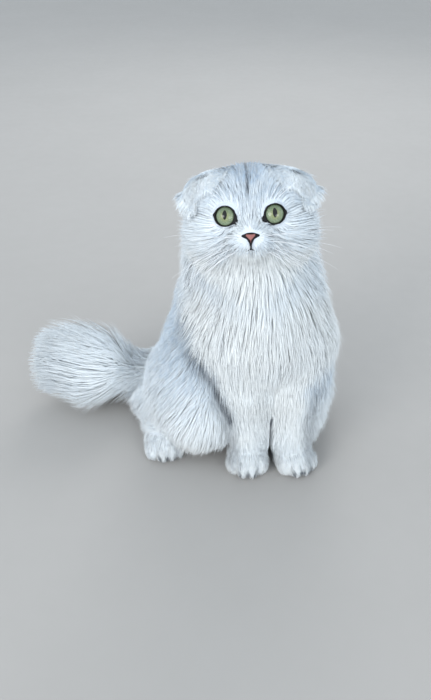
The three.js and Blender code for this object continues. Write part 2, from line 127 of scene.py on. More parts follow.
# Radii of flesh: across, from front to back and upwards, or from the start to the end of a limb
NECK_RADII = (43, 32)
RUFF_RADII = (50, 34, 44)
WITHERS_RADII = (48, 42, 44)
CHEST_RADII = (48, 44, 56)
BARREL_RADII = (61, 56, 62)
PELVIS_RADII = (62, 52, 56)
THIGH_RADII = (38, 56, 50)
SHIN_RADII = (28, 12)
UPPER_ARM_RADII = (29, 23)
FOREARM_RADII = (22, 16)
HIND_FOOT_RADII = (14, 13)

# Places of the seated pose
SIDES = (-1, 1)
SIDE_WORDS = ((-1, "right"), (1, "left"))
SKULL = (3, -42, 294)
NAPE = (6, -34, 256)
RUFF = (5, -14, 236)
NECK_BASE = (16, -24, 206)
WITHERS = (-6, 0, 180)
CHEST = (24, -28, 160)
BARREL = (-9, 6, 116)
PELVIS = (-12, 38, 62)
FORE_LEGS = {
    "right": dict(
        shoulder=(-8, -42, 140), elbow=(2, -56, 96), wrist=(8, -70, 34), paw=(6, -80, 0), turn=0
    ),
    "left": dict(
        shoulder=(62, -36, 140), elbow=(60, -54, 96), wrist=(56, -68, 34), paw=(60, -78, 0), turn=16
    ),
}
HIND_LEGS = {
    "right": dict(
        hip=(-56, -4, 58), knee=(-47, -49, 49), hock=(-112, 20, 15), paw=(-91, -54, 0), turn=14, side=-1
    ),
    "left": dict(
        hip=(55, 14, 52), knee=(54, -30, 44), hock=(78, 40, 15), paw=(68, -24, 0), turn=8, side=1
    ),
}

# The tail from its root to its tip: places, radii of flesh and depths of coat
TAIL = [
    ((-36, 70, 40), 13, 12),
    ((-84, 62, 34), 12, 14),
    ((-147, 42, 39), 12, 17),
    ((-174, 40, 53), 12, BRUSH_COAT + 4),
    ((-193, 38, 53), 12, BRUSH_COAT + 10),
]

# The end of the tail's brush: where it opens, where it is rounded off, its low side and how much it opens
BRUSH_OPENING = (-180, -238)
BRUSH_END = -235
BRUSH_LOW = 40
BRUSH_LIFT = 0.34

# The camera
CAMERA_PLACE = (-30, -660, 577)
CAMERA_PITCH = 35.6
CAMERA_LENS = 36
CAMERA_SENSOR = 36


def vec(*values):
    return np.array(values, dtype=np.float32)


def unit(rows):
    return rows / np.maximum(np.linalg.norm(rows, axis=-1, keepdims=True), 1e-9)


def turned(axis, degrees):
    """The matrix of a turn round X, Y or Z."""
    return np.array(Matrix.Rotation(math.radians(degrees), 3, axis), dtype=np.float32)


# The head's own frame: x to the viewer's right, y back through the skull, z to the crown.
HEAD_TURN = turned("Z", -HEAD_YAW) @ turned("X", -HEAD_PITCH) @ turned("Y", -HEAD_ROLL)


def on_head(points):
    return np.asarray(points, np.float32) @ HEAD_TURN.T + vec(*SKULL)


def in_head(points):
    return (points - vec(*SKULL)) @ HEAD_TURN


def eye_on_head(side):
    """The middle of an eyeball in the head's frame."""
    return vec(side * (EYE_SPACING / 2 - 1), -29.5, 3)


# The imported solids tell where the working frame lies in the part's frame.
eye_low, eye_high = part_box("eye_left")
SHIFT = np.array((eye_low + eye_high) / 2) * 1000 - on_head(eye_on_head(1))


def to_part(points):
    return (np.asarray(points, float) + SHIFT) * 0.001


# Soft forms. Each gives the distance of points from its surface at a level of the coat, and the way that the
# coat lies there.
class Spots:
    """Points, both in the working frame and in the head's frame."""

    def __init__(self, world):
        self.world = world.astype(np.float32)
        self.head = in_head(self.world)

    def frame(self, of_head):
        return self.head if of_head else self.world


class Egg:
    """An ellipsoid, turned round z, under a coat of one depth."""

    def __init__(self, centre, radii, coat, lie, turn=0, of_head=False):
        self.centre = vec(*centre)
        self.radii = vec(*radii)
        self.coat = coat
        self.lie = lie
        self.turn = turned("Z", turn)
        self.of_head = of_head

    def distance(self, spots, level):
        away = (spots.frame(self.of_head) - self.centre) @ self.turn / self.radii
        k0 = np.sqrt(np.einsum("ij,ij->i", away, away))
        away /= self.radii
        k1 = np.sqrt(np.einsum("ij,ij->i", away, away))
        return k0 * (k0 - 1) / np.maximum(k1, 1e-6) - level * self.coat


class Limb:
    """A round, tapering form between two points, with a depth of coat at each."""

    def __init__(self, start, end, radii, coats, lie=None, of_head=False):
        self.start = vec(*start)
        self.along = vec(*end) - self.start
        self.radii = radii
        self.coats = coats
        self.lie = lie or towards(*self.along)
        self.of_head = of_head

    def distance(self, spots, level):
        away = spots.frame(self.of_head) - self.start
        share = np.clip(away @ self.along / (self.along @ self.along), 0, 1)
        away -= share[:, None] * self.along
        radius = self.radii[0] + (self.radii[1] - self.radii[0]) * share
        coat = self.coats[0] + (self.coats[1] - self.coats[0]) * share
        return np.sqrt(np.einsum("ij,ij->i", away, away)) - radius - level * coat


class Melted:
    """Several forms that run into one another."""

    def __init__(self, forms, blend):
        self.forms = forms
        self.blend = blend

    def distance(self, spots, level):
        total = 0
        for form in self.forms:
            total = total + np.exp(-form.distance(spots, level) / self.blend)
        return -self.blend * np.log(np.maximum(total, 1e-30))

    def lie(self, spots, level):
        way = 0
        for form in self.forms:
            weight = np.exp(-form.distance(spots, level) / self.blend)
            way = way + weight[:, None] * form.lie(spots, level)
        return unit(way)


def towards(*way):
    """A coat that lies the same way everywhere."""
    fixed = unit(vec(*way))
    return lambda spots, level: np.broadcast_to(fixed, spots.world.shape)


def back_from_nose(spots, level):
    return unit(spots.world - on_head((0, -50, -14)))


DOWN_CHEST = towards(0, 0.05, -1)
DOWN_BACK = towards(-0.15, 0.35, -1)


def head_egg(centre, radii, coat):
    return Egg(centre, radii, coat, back_from_nose, of_head=True)


# The forms of the head
skull = head_egg((0, 8, 4), (SKULL_WIDTH / 2, 40, SKULL_HEIGHT / 2), 6.5)
forehead = head_egg((0, -12, 10), (SKULL_WIDTH * 0.36, 22, 22), 3.5)
cheeks = [head_egg((s * 29, -2, -15), (24, 26, 23), CHEEK_COAT) for s in SIDES]
brows = [head_egg((s * 20, -20, 8), (13, 9, 12), 2) for s in SIDES]
whisker_pads = [head_egg((s * 8.5, -34, -20), (10.5, 10.5, 9), 1.5) for s in SIDES]
bridge = Limb((0, -24, 4), (0, -39, -11), (8, 5), (1.5, 1.5), back_from_nose, of_head=True)
chin = head_egg((0, -29, -29), (10, 10, 7), FACE_COAT)
outer_ear_fur = [
    Egg((s * 38, -4, 19), (18, 14, 13), 9, towards(s * 0.7, -0.2, -0.7), of_head=True) for s in SIDES
]
inner_ear_fur = [
    Egg((s * 25, -2, 28), (13, 12, 9.5), 5, towards(s * 0.5, -0.5, -0.5), of_head=True) for s in SIDES
]
head = Melted(
    [skull, forehead, *cheeks, *brows, *whisker_pads, bridge, chin, *outer_ear_fur, *inner_ear_fur],
    FACE_BLEND,
)

# The forms of the trunk
neck = Limb(NECK_BASE, NAPE, NECK_RADII, (RUFF_COAT, RUFF_COAT / 2), DOWN_CHEST)
ruff = Egg(RUFF, RUFF_RADII, RUFF_COAT - 6, DOWN_CHEST)
withers = Egg(WITHERS, WITHERS_RADII, BODY_COAT, DOWN_BACK)
chest = Egg(CHEST, CHEST_RADII, BODY_COAT, DOWN_CHEST, turn=12)
barrel = Egg(BARREL, BARREL_RADII, BODY_COAT, DOWN_BACK, turn=15)
pelvis = Egg(PELVIS, PELVIS_RADII, BODY_COAT, DOWN_BACK, turn=15)
trunk = Melted([head, neck, ruff, withers, chest, barrel, pelvis], BODY_BLEND)


def haunch(hip, knee, hock, turn, side, **rest):
    thigh = Egg(hip, THIGH_RADII, HAUNCH_COAT, towards(side * 0.35, -0.15, -1), turn=turn)
    shin = Limb(knee, hock, SHIN_RADII, (HAUNCH_COAT, 15), towards(side * 0.3, 0.1, -1))
    return Melted([thigh, shin], BODY_BLEND)


def fore_leg(shoulder, elbow, wrist, **rest):
    upper = Limb(shoulder, elbow, UPPER_ARM_RADII, (14, 9))
    lower = Limb(elbow, wrist, FOREARM_RADII, (8, 5))
    return Melted([upper, lower], BODY_BLEND)


def on_paw(leg, x, y, z):
    """A place on a paw: x across it, y back from its middle and z up from the floor."""
    return turned("Z", leg["turn"]) @ vec(x, y, z) + vec(*leg["paw"])


def paw(leg):
    """A low pad with four toes, and on a hind leg the long foot back to the hock."""
    turn = leg["turn"]
    forward = towards(math.sin(math.radians(turn)), -math.cos(math.radians(turn)), -0.4)
    pad_radii = (PAW_WIDTH / 2 - FACE_COAT, PAW_LENGTH / 2 - 5, 12)
    forms = [Egg(on_paw(leg, 0, 3, 13), pad_radii, FACE_COAT, forward, turn)]
    if "hock" in leg:
        forms.append(Limb(on_paw(leg, 0, 8, 14), leg["hock"], HIND_FOOT_RADII, (4, 6)))
    toe_radii = [size / 2 - 1 for size in TOE_SIZE]
    for step in (-1.5, -0.5, 0.5, 1.5):
        set_back = OUTER_TOE_SETBACK if abs(step) > 1 else 0
        front = (TOE_SIZE[1] - PAW_LENGTH) / 2 + set_back
        centre = on_paw(leg, step * TOE_PITCH, front, TOE_SIZE[2] / 2 - 1)
        forms.append(Egg(centre, toe_radii, TOE_COAT, forward, turn))
    return Melted(forms, TOE_BLEND)


tail = Melted(
    [
        Limb(start, end, (thin, thick), (short, long))
        for (start, thin, short), (end, thick, long) in zip(TAIL, TAIL[1:])
    ],
    BODY_BLEND,
)
PARTS = {"trunk": trunk, "tail": tail}
for name, leg in HIND_LEGS.items():
    PARTS[f"haunch_{name}"] = haunch(**leg)
for name, leg in FORE_LEGS.items():
    PARTS[f"fore_leg_{name}"] = fore_leg(**leg)
limbs_and_trunk = Melted(list(PARTS.values()), BODY_BLEND)
for kind, legs in (("fore", FORE_LEGS), ("hind", HIND_LEGS)):
    for name, leg in legs.items():
        PARTS[f"{kind}_paw_{name}"] = paw(leg)
paws = [form for name, form in PARTS.items() if "paw" in name]
body = Melted([limbs_and_trunk, *paws], PAW_BLEND)


# The eyes' own frames: x across, y up, z out of the eye.
def eye_frame(side):
    out = unit(vec(side * 0.22, -0.95, 0.12))
    across = unit(np.cross(vec(0, 0, 1), out))
    return np.stack([across, np.cross(out, across), out])


def on_eye(side, points):
    return on_head(np.asarray(points, np.float32) @ eye_frame(side) + eye_on_head(side))


def corner(angle, at, length, sharpness):
    """A point that the rim's outline has at one angle."""
    return length * np.exp(sharpness * (np.cos(angle - at) - 1))


def rim_radius(angle):
    """The outline of the dark rim round an eye's middle; the angle runs from the outer corner over the top."""
    oval = 1 / np.hypot(np.cos(angle) / (RIM_WIDTH / 2), np.sin(angle) / (RIM_HEIGHT / 2))
    return oval + corner(angle, -2.72, TEAR_CORNER, 22) + corner(angle, 0.14, OUTER_CORNER, 90)


def eye_view(head_points, side):
    """Points in an eye's own frame, and how far they lie outside the outline of its rim."""
    local = (head_points - eye_on_head(side)) @ eye_frame(side).T
    angle = np.arctan2(local[:, 1], local[:, 0] * side)
    return local, np.hypot(local[:, 0], local[:, 1]) - rim_radius(angle)


def lid_distance(spots, side):
    local, outside = eye_view(spots.head, side)
    return np.hypot(outside, local[:, 2] - LID_HEIGHT) - LID_RADIUS


def smooth_least(a, b, blend):
    """The smaller of two distances, with the corner between them rounded off."""
    return -blend * np.logaddexp(-a / blend, -b / blend)


# The line of the mouth: down from the nose, and from there to both sides
MOUTH_LINES = [[(0, -47.5, -18.5), (0, -47, -22), (0, -45.5, -25)]]
for s in SIDES:
    to_side = [(0, -45.5, -25), (s * 4.5, -44, -28), (s * 10, -38.5, -29.5), (s * 14.5, -31, -28)]
    MOUTH_LINES.append(to_side)
MOUTH_GROOVES = [
    Limb(start, end, (MOUTH_GROOVE, MOUTH_GROOVE), (0, 0), of_head=True)
    for line in MOUTH_LINES
    for start, end in zip(line, line[1:])
]


def skin_distance(points):
    """The skin: the body at a low level of its coat, with orbits, lids and the groove of the mouth."""
    spots = Spots(points)
    gap = body.distance(spots, SKIN_LEVEL)
    for side in SIDES:
        orbit = eye_on_head(side) + eye_frame(side)[2] * EYE_RADIUS
        hollow = np.linalg.norm(spots.head - orbit, axis=1) - RIM_WIDTH / 2
        gap = -smooth_least(-gap, hollow, ORBIT_BLEND)
        gap = smooth_least(gap, lid_distance(spots, side), LID_BLEND)
    for groove in MOUTH_GROOVES:
        gap = -smooth_least(-gap, groove.distance(spots, 0), GROOVE_BLEND)
    return np.maximum(gap, SKIN_OFF_FLOOR - spots.world[:, 2])


def slope_of(distance, points, tap=0.4):
    """The distance at points and its slope there."""
    here = distance(points)
    steps = [distance(points + tap * np.eye(3, dtype=np.float32)[axis]) - here for axis in range(3)]
    return here, np.stack(steps, axis=1) / tap


def settled(distance, points, passes=2):
    """Points drawn on to the surface along its slope."""
    for _ in range(passes):
        here, slope = slope_of(distance, points)
        points = points - slope * (here / np.maximum((slope**2).sum(1), 0.05))[:, None]
    return points


def grid_values(distance, low, high, cell):
    """The distance at the corners of a grid of cubes, worked out layer by layer."""
    counts = [int(math.ceil((high[i] - low[i]) / cell)) + 1 for i in range(3)]
    xs, ys, zs = (low[i] + cell * np.arange(counts[i], dtype=np.float32) for i in range(3))
    y, z = (grid.ravel() for grid in np.meshgrid(ys, zs, indexing="ij"))
    layers = [distance(np.stack([np.full(y.size, x, np.float32), y, z], axis=1)) for x in xs]
    return np.stack(layers).astype(np.float32).reshape(counts)


def crossing_middles(values, cells):
    """For each of some cells, the mean of the places where the surface crosses its edges, in cells."""
    place = np.zeros((len(cells), 3))
    crossings = np.zeros(len(cells))
    for axis in range(3):
        b, c = (axis + 1) % 3, (axis + 2) % 3
        for shift_b, shift_c in np.ndindex(2, 2):
            start = cells.copy()
            start[:, b] += shift_b
            start[:, c] += shift_c
            end = start.copy()
            end[:, axis] += 1
            v0, v1 = values[tuple(start.T)], values[tuple(end.T)]
            crossed = (v0 < 0) != (v1 < 0)
            share = np.where(crossed, v0 / np.where(crossed, v0 - v1, 1), 0)
            spot = start + share[:, None] * (end - start)
            place += np.where(crossed[:, None], spot, 0)
            crossings += crossed
    return place / crossings[:, None]


def quads_round_edges(inside, number, axis):
    """A quad round each grid edge along an axis that the surface crosses, from the points of four cells."""
    b, c = (axis + 1) % 3, (axis + 2) % 3
    lower = [slice(1, count) for count in number.shape]
    lower[axis] = slice(0, number.shape[axis])
    upper = list(lower)
    upper[axis] = slice(1, number.shape[axis] + 1)
    first, second = inside[tuple(lower)], inside[tuple(upper)]
    quads = []
    for leaving in (True, False):
        edges = np.argwhere(first & ~second if leaving else ~first & second)
        ring = []
        for shift_b, shift_c in ((1, 1), (0, 1), (0, 0), (1, 0)):
            around = edges.copy()
            around[:, b] += shift_b
            around[:, c] += shift_c
            ring.append(number[tuple(around.T)])
        ring = np.stack(ring, axis=1)
        quads.append(ring if leaving else ring[:, ::-1])
    return quads


def surface_net(distance, low, high, cell):
    """A closed mesh of quads where a distance is zero: one point in each cell that the surface crosses."""
    values = grid_values(distance, low, high, cell)
    inside = values < 0
    counts = tuple(n - 1 for n in values.shape)
    total = np.zeros(counts, np.int8)
    for shifts in np.ndindex(2, 2, 2):
        total += inside[tuple(slice(s, s + n) for s, n in zip(shifts, counts))]
    mixed = (total > 0) & (total < 8)
    number = np.full(counts, -1, np.int64)
    number[mixed] = np.arange(mixed.sum())
    middles = crossing_middles(values, np.argwhere(mixed))
    quads = [quad for axis in range(3) for quad in quads_round_edges(inside, number, axis)]
    return vec(*low) + cell * middles.astype(np.float32), np.concatenate(quads)


def mesh_object(name, points, faces):
    """An object in the part's frame from points in millimetres and faces that are rows of equal length."""
    mesh = bpy.data.meshes.new(name)
    faces = np.asarray(faces, np.int32)
    sides = faces.shape[1]
    mesh.vertices.add(len(points))
    mesh.vertices.foreach_set("co", to_part(points).astype(np.float32).ravel())
    mesh.loops.add(faces.size)
    mesh.loops.foreach_set("vertex_index", faces.ravel())
    mesh.polygons.add(len(faces))
    mesh.polygons.foreach_set("loop_start", np.arange(0, faces.size, sides, dtype=np.int32))
    mesh.polygons.foreach_set("use_smooth", np.full(len(faces), True))
    mesh.update(calc_edges=True)
    made = bpy.data.objects.new(name, mesh)
    bpy.context.scene.collection.objects.link(made)
    return made


# The unwrap of the skin: each part of the body is laid out round its own middle, in a box of its own. A chart
# has a middle, the way of its axis, radii, and its box: left, bottom, width and height.
CHARTS = {
    "head": (on_head((0, -4, 0)), (0, -1, 0.25), (45, 50, 45), (0.02, 0.64, 0.46, 0.34)),
    "trunk": ((4, 0, 130), (0, 0.2, -1), (75, 130, 70), (0.52, 0.52, 0.46, 0.46)),
    "tail": ((-130, 54, 42), (-1, -0.15, 0.1), (50, 120, 50), (0.02, 0.27, 0.46, 0.22)),
    "haunch_right": ((-70, -2, 46), (0, -1, 0), (45, 65, 50), (0.52, 0.27, 0.22, 0.22)),
    "haunch_left": ((60, 10, 46), (0, -1, 0), (45, 65, 50), (0.77, 0.27, 0.21, 0.22)),
    "fore_leg_right": ((3, -58, 88), (0.1, -0.3, -1), (25, 60, 25), (0.02, 0.02, 0.14, 0.22)),
    "fore_leg_left": ((59, -54, 88), (0, -0.3, -1), (25, 60, 25), (0.18, 0.02, 0.14, 0.22)),
    "fore_paw_right": ((6, -78, 14), (0, -1, 0), (22, 28, 14), (0.34, 0.02, 0.14, 0.22)),
    "fore_paw_left": ((60, -76, 14), (0.28, -1, 0), (22, 28, 14), (0.50, 0.02, 0.14, 0.22)),
    "hind_paw_right": ((-96, -30, 14), (0.25, -1, 0), (22, 45, 14), (0.66, 0.02, 0.14, 0.22)),
    "hind_paw_left": ((72, 0, 14), (0.14, -1, 0), (22, 45, 14), (0.82, 0.02, 0.14, 0.22)),
}
CHART_NAMES = list(CHARTS)


def chart_of(points):
    """The number of the chart that each point belongs to."""
    spots = Spots(points)
    gaps = [head.distance(spots, SKIN_LEVEL)]
    gaps += [PARTS[name].distance(spots, SKIN_LEVEL) for name in CHART_NAMES[1:]]
    return np.argmin(np.stack(gaps), axis=0)


def chart_angles(points, centre, forward, radii):
    """The angles of points round a chart's forward axis and away from it."""
    forward = unit(vec(*forward))
    across = unit(np.cross(forward, vec(0, 0, 1) if abs(forward[2]) < 0.8 else vec(0, 1, 0)))
    axes = np.stack([across, forward, np.cross(forward, across)])
    local = unit((points - vec(*centre)) @ axes.T / vec(*radii))
    return np.arctan2(local[:, 2], local[:, 0]), np.arccos(np.clip(local[:, 1], -1, 1))


def unwrapped(points, charts, near=None):
    """The place of points on the unwrap. With `near`, each angle is kept next to that of a nearby point."""
    uv = np.zeros((len(points), 2), np.float32)
    for number, (centre, forward, radii, (left, bottom, width, height)) in enumerate(CHARTS.values()):
        chosen = charts == number
        if not chosen.any():
            continue
        around, polar = chart_angles(points[chosen], centre, forward, radii)
        if near is not None:
            middle, _ = chart_angles(near[chosen], centre, forward, radii)
            around = middle + (around - middle + math.pi) % (2 * math.pi) - math.pi
        uv[chosen, 0] = left + width * (around / (2 * math.pi) + 0.5)
        uv[chosen, 1] = bottom + height * polar / math.pi
    return uv


# The ears. An ear rises from the skull, bends over at its crest and hangs forwards to its tip over the cup. Each
# row gives a point of its inner and of its outer edge, from the root to the tip.
EAR_ROWS = [
    ((15, 8, 26), (46, 12, 4)),
    ((17, 4, 38), (56, 8, 17)),
    ((20, -3, 41.5), (60, 0, 23)),
    ((24, -14, 36.5), (59, -10, 17)),
    ((28, -20, 28), (52, -18, 10)),
]


def ear_sheet(u, v):
    """The middle of the viewer's right ear in the head's frame; the rows are joined by a smooth curve."""
    rows = [vec(*inner) + u[:, None] * (vec(*outer) - vec(*inner)) for inner, outer in EAR_ROWS]
    rows = np.stack([rows[0] * 2 - rows[1], *rows, rows[-1] * 2 - rows[-2]])
    last = rows[-2] - rows[-3]
    place = np.clip(v, 0, 1) * (len(EAR_ROWS) - 1)
    beyond = (v * (len(EAR_ROWS) - 1) - place)[:, None]
    step = np.minimum(place.astype(int), len(EAR_ROWS) - 2)
    t = (place - step)[:, None]
    a, b, c, d = (rows[step + i, np.arange(len(u))] for i in range(4))
    curve = 2 * b + (c - a) * t + (2 * a - 5 * b + 4 * c - d) * t**2 + (3 * b - a - 3 * c + d) * t**3
    arch = np.maximum(4 * u * (1 - u), 0)[:, None] * vec(4, -1, 7)
    return curve / 2 + arch + beyond * last


def on_ear(side, u, v, depth=0.0):
    """Points of an ear and their outward ways; `u` runs to the ear's outer edge and `v` to its tip."""
    u, v = np.asarray(u, np.float32), np.asarray(v, np.float32)
    tap = 0.01
    mirror = vec(side, 1, 1)
    edgeward = unit(ear_sheet(u + tap, v) - ear_sheet(u - tap, v)) * mirror
    tipward = unit(ear_sheet(u, v + tap) - ear_sheet(u, v - tap)) * mirror
    outward = unit(np.cross(edgeward, tipward)) * -side
    point = on_head(ear_sheet(u, v) * mirror + outward * np.asarray(depth)[..., None])
    return point, outward @ HEAD_TURN.T


def ear_uv(side, u, v, layer=0):
    """The place on the unwrap of an ear's outer face, layer 0, or its inner face, layer 1."""
    return np.stack([(0.25 if side > 0 else 0.02) + 0.11 * (u + layer), 0.52 + 0.1 * v], axis=1)


def ear_shell(side, wide=16, deep=26):
    """A closed shell that thins towards its edges, with the places of its points on the unwrap."""
    v, u = np.meshgrid(np.linspace(0, 1, deep + 1), np.linspace(0, 1, wide + 1), indexing="ij")
    v, u = v.ravel(), u.ravel()
    edge = np.minimum(np.minimum(u, 1 - u) * 6, np.minimum(1 - v + 0.05, 1) * 8).clip(0.25, 1)
    outer = on_ear(side, u, v, edge * EAR_THICKNESS / 2)[0]
    inner = on_ear(side, u, v, -edge * EAR_THICKNESS / 2)[0]
    grid = np.arange((deep + 1) * (wide + 1)).reshape(deep + 1, wide + 1)
    quads = np.stack([grid[:-1, :-1], grid[:-1, 1:], grid[1:, 1:], grid[1:, :-1]], axis=-1).reshape(-1, 4)
    rim = np.concatenate([grid[0, :-1], grid[:-1, -1], grid[-1, :0:-1], grid[:0:-1, 0]])
    following = np.roll(rim, -1)
    count = grid.size
    walls = np.stack([following, rim, rim + count, following + count], axis=1)
    faces = np.concatenate([quads, quads[:, ::-1] + count, walls])
    if side > 0:
        faces = faces[:, ::-1]
    uv = np.concatenate([ear_uv(side, u, v), ear_uv(side, u, v, 1)])
    return np.concatenate([outer, inner]), halved(faces), uv


def halved(quads):
    """Each quad as two triangles."""
    return np.concatenate([quads[:, [0, 1, 2]], quads[:, [0, 2, 3]]])


# The coat's colours: how silvery and how dark each place is, with painted shade among them.
BACK_SILVER = 0.76
# The face's silver is partly painted shade, and the brow's is painted shade
FACE_SILVER_AND_SHADE = 0.33
BROW_PAINTED_SHADE = 0.2
MUZZLE_SILVER = 0.5
# Painted shade round the eyes and the nose
THIN_HAIR_SHADE = 0.5
TAIL_SILVER = 0.3
FEET_SILVER = 0.22
# Painted shadow along the hem of the long coat near the floor
HEM_SHADOW = 0.75

# Painted shade, as dark hair tips, in the valleys of the coat seen from the front: points of x and z, width and
# strength
PAINTED_VALLEY_SHADE = [
    ([(-48, 190), (-28, 118), (-14, 66), (-10, 20)], 12, 0.4),
    ([(-42, 172), (-27, 122), (-16, 84)], 5, 0.95),
    ([(75, 128), (73, 70), (74, 20)], 10, 0.35),
    ([(32, 84), (33, 30), (33, 8)], 4.5, 0.8),
]
# Painted shade in the crease across each fore wrist: points of x and z
WRIST_CREASE_SHADE = [((-13, 34), (8, 29), (29, 25)), ((71, 35), (62, 27), (52, 24))]
TEAR_LINE = [(-9.5, -5), (-11.5, -8.5), (-14.5, -12)]
WHISKER_ROWS = (-15.5, -20, -24.5)


def ramp(values, start, end):
    """A smooth step from 0 at `start` to 1 at `end`."""
    share = np.clip((values - start) / (end - start), 0, 1)
    return share * share * (3 - 2 * share)


def blot(points, centre, radii, strength):
    """A soft spot, strongest at its centre."""
    far = np.linalg.norm((points - vec(*centre)) / vec(*radii), axis=1)
    return strength * (1 - ramp(far, 0.35, 1))


def stroke(points, line, width, strength=1.0):
    """A soft line on the front of the cat: `line` gives x and z."""
    flat = points[:, [0, 2]]
    nearest = np.full(len(points), np.inf, np.float32)
    for start, end in zip(line, line[1:]):
        along = vec(*end) - vec(*start)
        away = flat - vec(*start)
        share = np.clip(away @ along / (along @ along), 0, 1)
        nearest = np.minimum(nearest, np.linalg.norm(away - share[:, None] * along, axis=1))
    return strength * (1 - ramp(nearest, width * 0.3, width)) * (points[:, 1] < 15)


def trunk_silver(points, h):
    """Back and flanks, with none in front of an edge that slants down the right flank, and paler below."""
    x, y, z = points.T
    front_edge = -45 + (203 - z) * 0.29
    flank = ramp(front_edge - x, -8, 10) * ramp(z, 40, 90)
    far_flank = ramp(x, 58, 72) * ramp(z, 165, 125)
    back = ramp(y, -20, 25)
    behind_face = np.maximum(ramp(z, 262, 225), ramp(h[:, 1], 12, 34))
    paler_below = 0.2 + 0.8 * ramp(z, 60, 170)
    return BACK_SILVER * np.maximum.reduce([flank, far_flank, back]) * behind_face * paler_below


def crown_silver(h):
    """A cap that widens up and back from the brow, and a short line over and under each eye."""
    half = 6 + 13 * ramp(h[:, 2], 16, 40) + 16 * ramp(h[:, 1], 2, 30)
    cap = (1 - ramp(np.abs(h[:, 0] + 1), half * 0.55, half * 1.3)) * ramp(h[:, 2], 14, 27)
    over_eyes = [stroke(h, [(s * 15, 17), (s * 15.5, 30)], 3.5, 0.45) for s in SIDES]
    under_eyes = [stroke(h, [(s * 20, -11), (s * 34, -12.5)], 4, 0.3) for s in SIDES]
    return np.maximum(cap, np.maximum.reduce(over_eyes + under_eyes) * (h[:, 1] < -5))


def face_silver_and_shade(points, h):
    """A light silver over the face that is partly painted shade, more painted shade up the brow where less light
    falls from above, a stronger silver on the muzzle, and a white chin.
    """
    shade = (FACE_SILVER_AND_SHADE + BROW_PAINTED_SHADE * ramp(h[:, 2], -4, 12)) * ramp(points[:, 2], 225, 250)
    muzzle = sum(blot(h, (s * 9, -42, -21), (14, 18, 12), MUZZLE_SILVER) for s in SIDES)
    white_chin = ramp(h[:, 2], -24, -31) * (h[:, 1] < -12)
    return np.maximum(shade, muzzle) * (1 - white_chin)


def thin_hair_shade(h):
    """Painted shade round the eyes and the nose, where the skin shows through thin hair and no coat shades it.
    """
    near_eyes = [np.linalg.norm(h - eye_on_head(s), axis=1) - EYE_RADIUS for s in SIDES]
    near_nose = np.linalg.norm((h - vec(0, -44, -14)) * vec(1, 1, 1.4), axis=1) - 6
    nearest = np.minimum.reduce([*near_eyes, near_nose])
    return THIN_HAIR_SHADE * np.exp(-np.maximum(nearest, 0) / 5)


def silver_and_shade_at(points):
    """How much grey-blue ticking shows at points, and the painted shade of the face, the brow and round the eyes
    and the nose.
    """
    h = in_head(points)
    brush = TAIL_SILVER * ramp(points[:, 0], -70, -105)
    feet = FEET_SILVER * ramp(points[:, 2], 60, 30)
    of_head = [crown_silver(h), face_silver_and_shade(points, h), thin_hair_shade(h)]
    return np.clip(np.maximum.reduce([trunk_silver(points, h), *of_head, brush, feet]), 0, 1)


def crown_marks(h):
    """A dark line along the middle of the crown, a faint one on each side and a shade between them."""
    x, y, z = h.T
    in_front = y < 30
    middle = (1 - ramp(np.abs(x + 1.5), 0.4, 2.1)) * (ramp(z, 6, 21) * in_front)
    shade = (1 - ramp(np.abs(x + 1), 6, 14)) * ramp(z, 24, 40) * (y < 40) * 0.36
    beside = [(1 - ramp(np.abs(x + 1.5 - s * 8), 0.6, 2.6)) * ramp(z, 24, 34) * in_front for s in SIDES]
    return [middle, shade, *[line * 0.35 for line in beside]]


def face_marks(h):
    """Rows of whisker roots, corners of the mouth, cleft of the lip and a line below the tear corner."""
    strokes = [stroke(h, TEAR_LINE, 1.1, 0.85), stroke(h, [(0, -24), (0, -27)], 3, 0.4)]
    for s in SIDES:
        strokes.append(stroke(h, [(s * 5, -30), (s * 13, -29)], 2.5, 0.14))
        for row in WHISKER_ROWS:
            strokes.append(stroke(h, [(s * 12, row), (s * 18, row + 0.3), (s * 25, row + 0.5)], 1.2, 0.55))
    on_face = h[:, 1] < -15
    return [mark * on_face for mark in strokes]


def toe_cleft_shade(points, leg):
    """Painted shade in the clefts between the toes of a paw."""
    local = (points - vec(*leg["paw"])) @ turned("Z", leg["turn"])
    gap = np.abs(local[:, 0, None] - TOE_PITCH * np.array([-1, 0, 1])).min(axis=1)
    clefts = (1 - ramp(gap, 0.7, 2.2)) * ramp(local[:, 1], -9, -15) * ramp(local[:, 2], 19, 11)
    return clefts * 0.9 * (np.abs(local[:, 0]) < 20)


def marking_and_shade_at(points):
    """How dark the narrow marks are at points, and the painted shade in the valleys of the coat, the wrist
    creases and the clefts between the toes.
    """
    h = in_head(points)
    marks = [stroke(points, *valley) for valley in PAINTED_VALLEY_SHADE]
    marks += [stroke(points, line, 1.3, 0.5) * (points[:, 1] < -60) for line in WRIST_CREASE_SHADE]
    marks += [toe_cleft_shade(points, leg) for leg in [*FORE_LEGS.values(), *HIND_LEGS.values()]]
    return np.clip(np.maximum.reduce(marks + crown_marks(h) + face_marks(h)), 0, 1)


# The coat. Tufts are flat, keeled tapers with a closed root, in the way the coat lies.
random = np.random.default_rng(HAIR_SEED)
WAVES = (unit(random.normal(size=(7, 3))) * 2 * math.pi / random.uniform(20, 46, (7, 1))).astype(np.float32)
WAVE_STARTS = random.uniform(0, 2 * math.pi, 7).astype(np.float32)


def ripple(points, fineness=1):
    """A smooth random number, mostly between -1 and 1, that neighbouring hairs share."""
    return np.sin(points @ WAVES.T * fineness + WAVE_STARTS).sum(axis=1) / 2.6


def coat_depth(points):
    """How far the coat stands off the flesh at points."""
    spots = Spots(points)
    return body.distance(spots, 0) - body.distance(spots, 1)


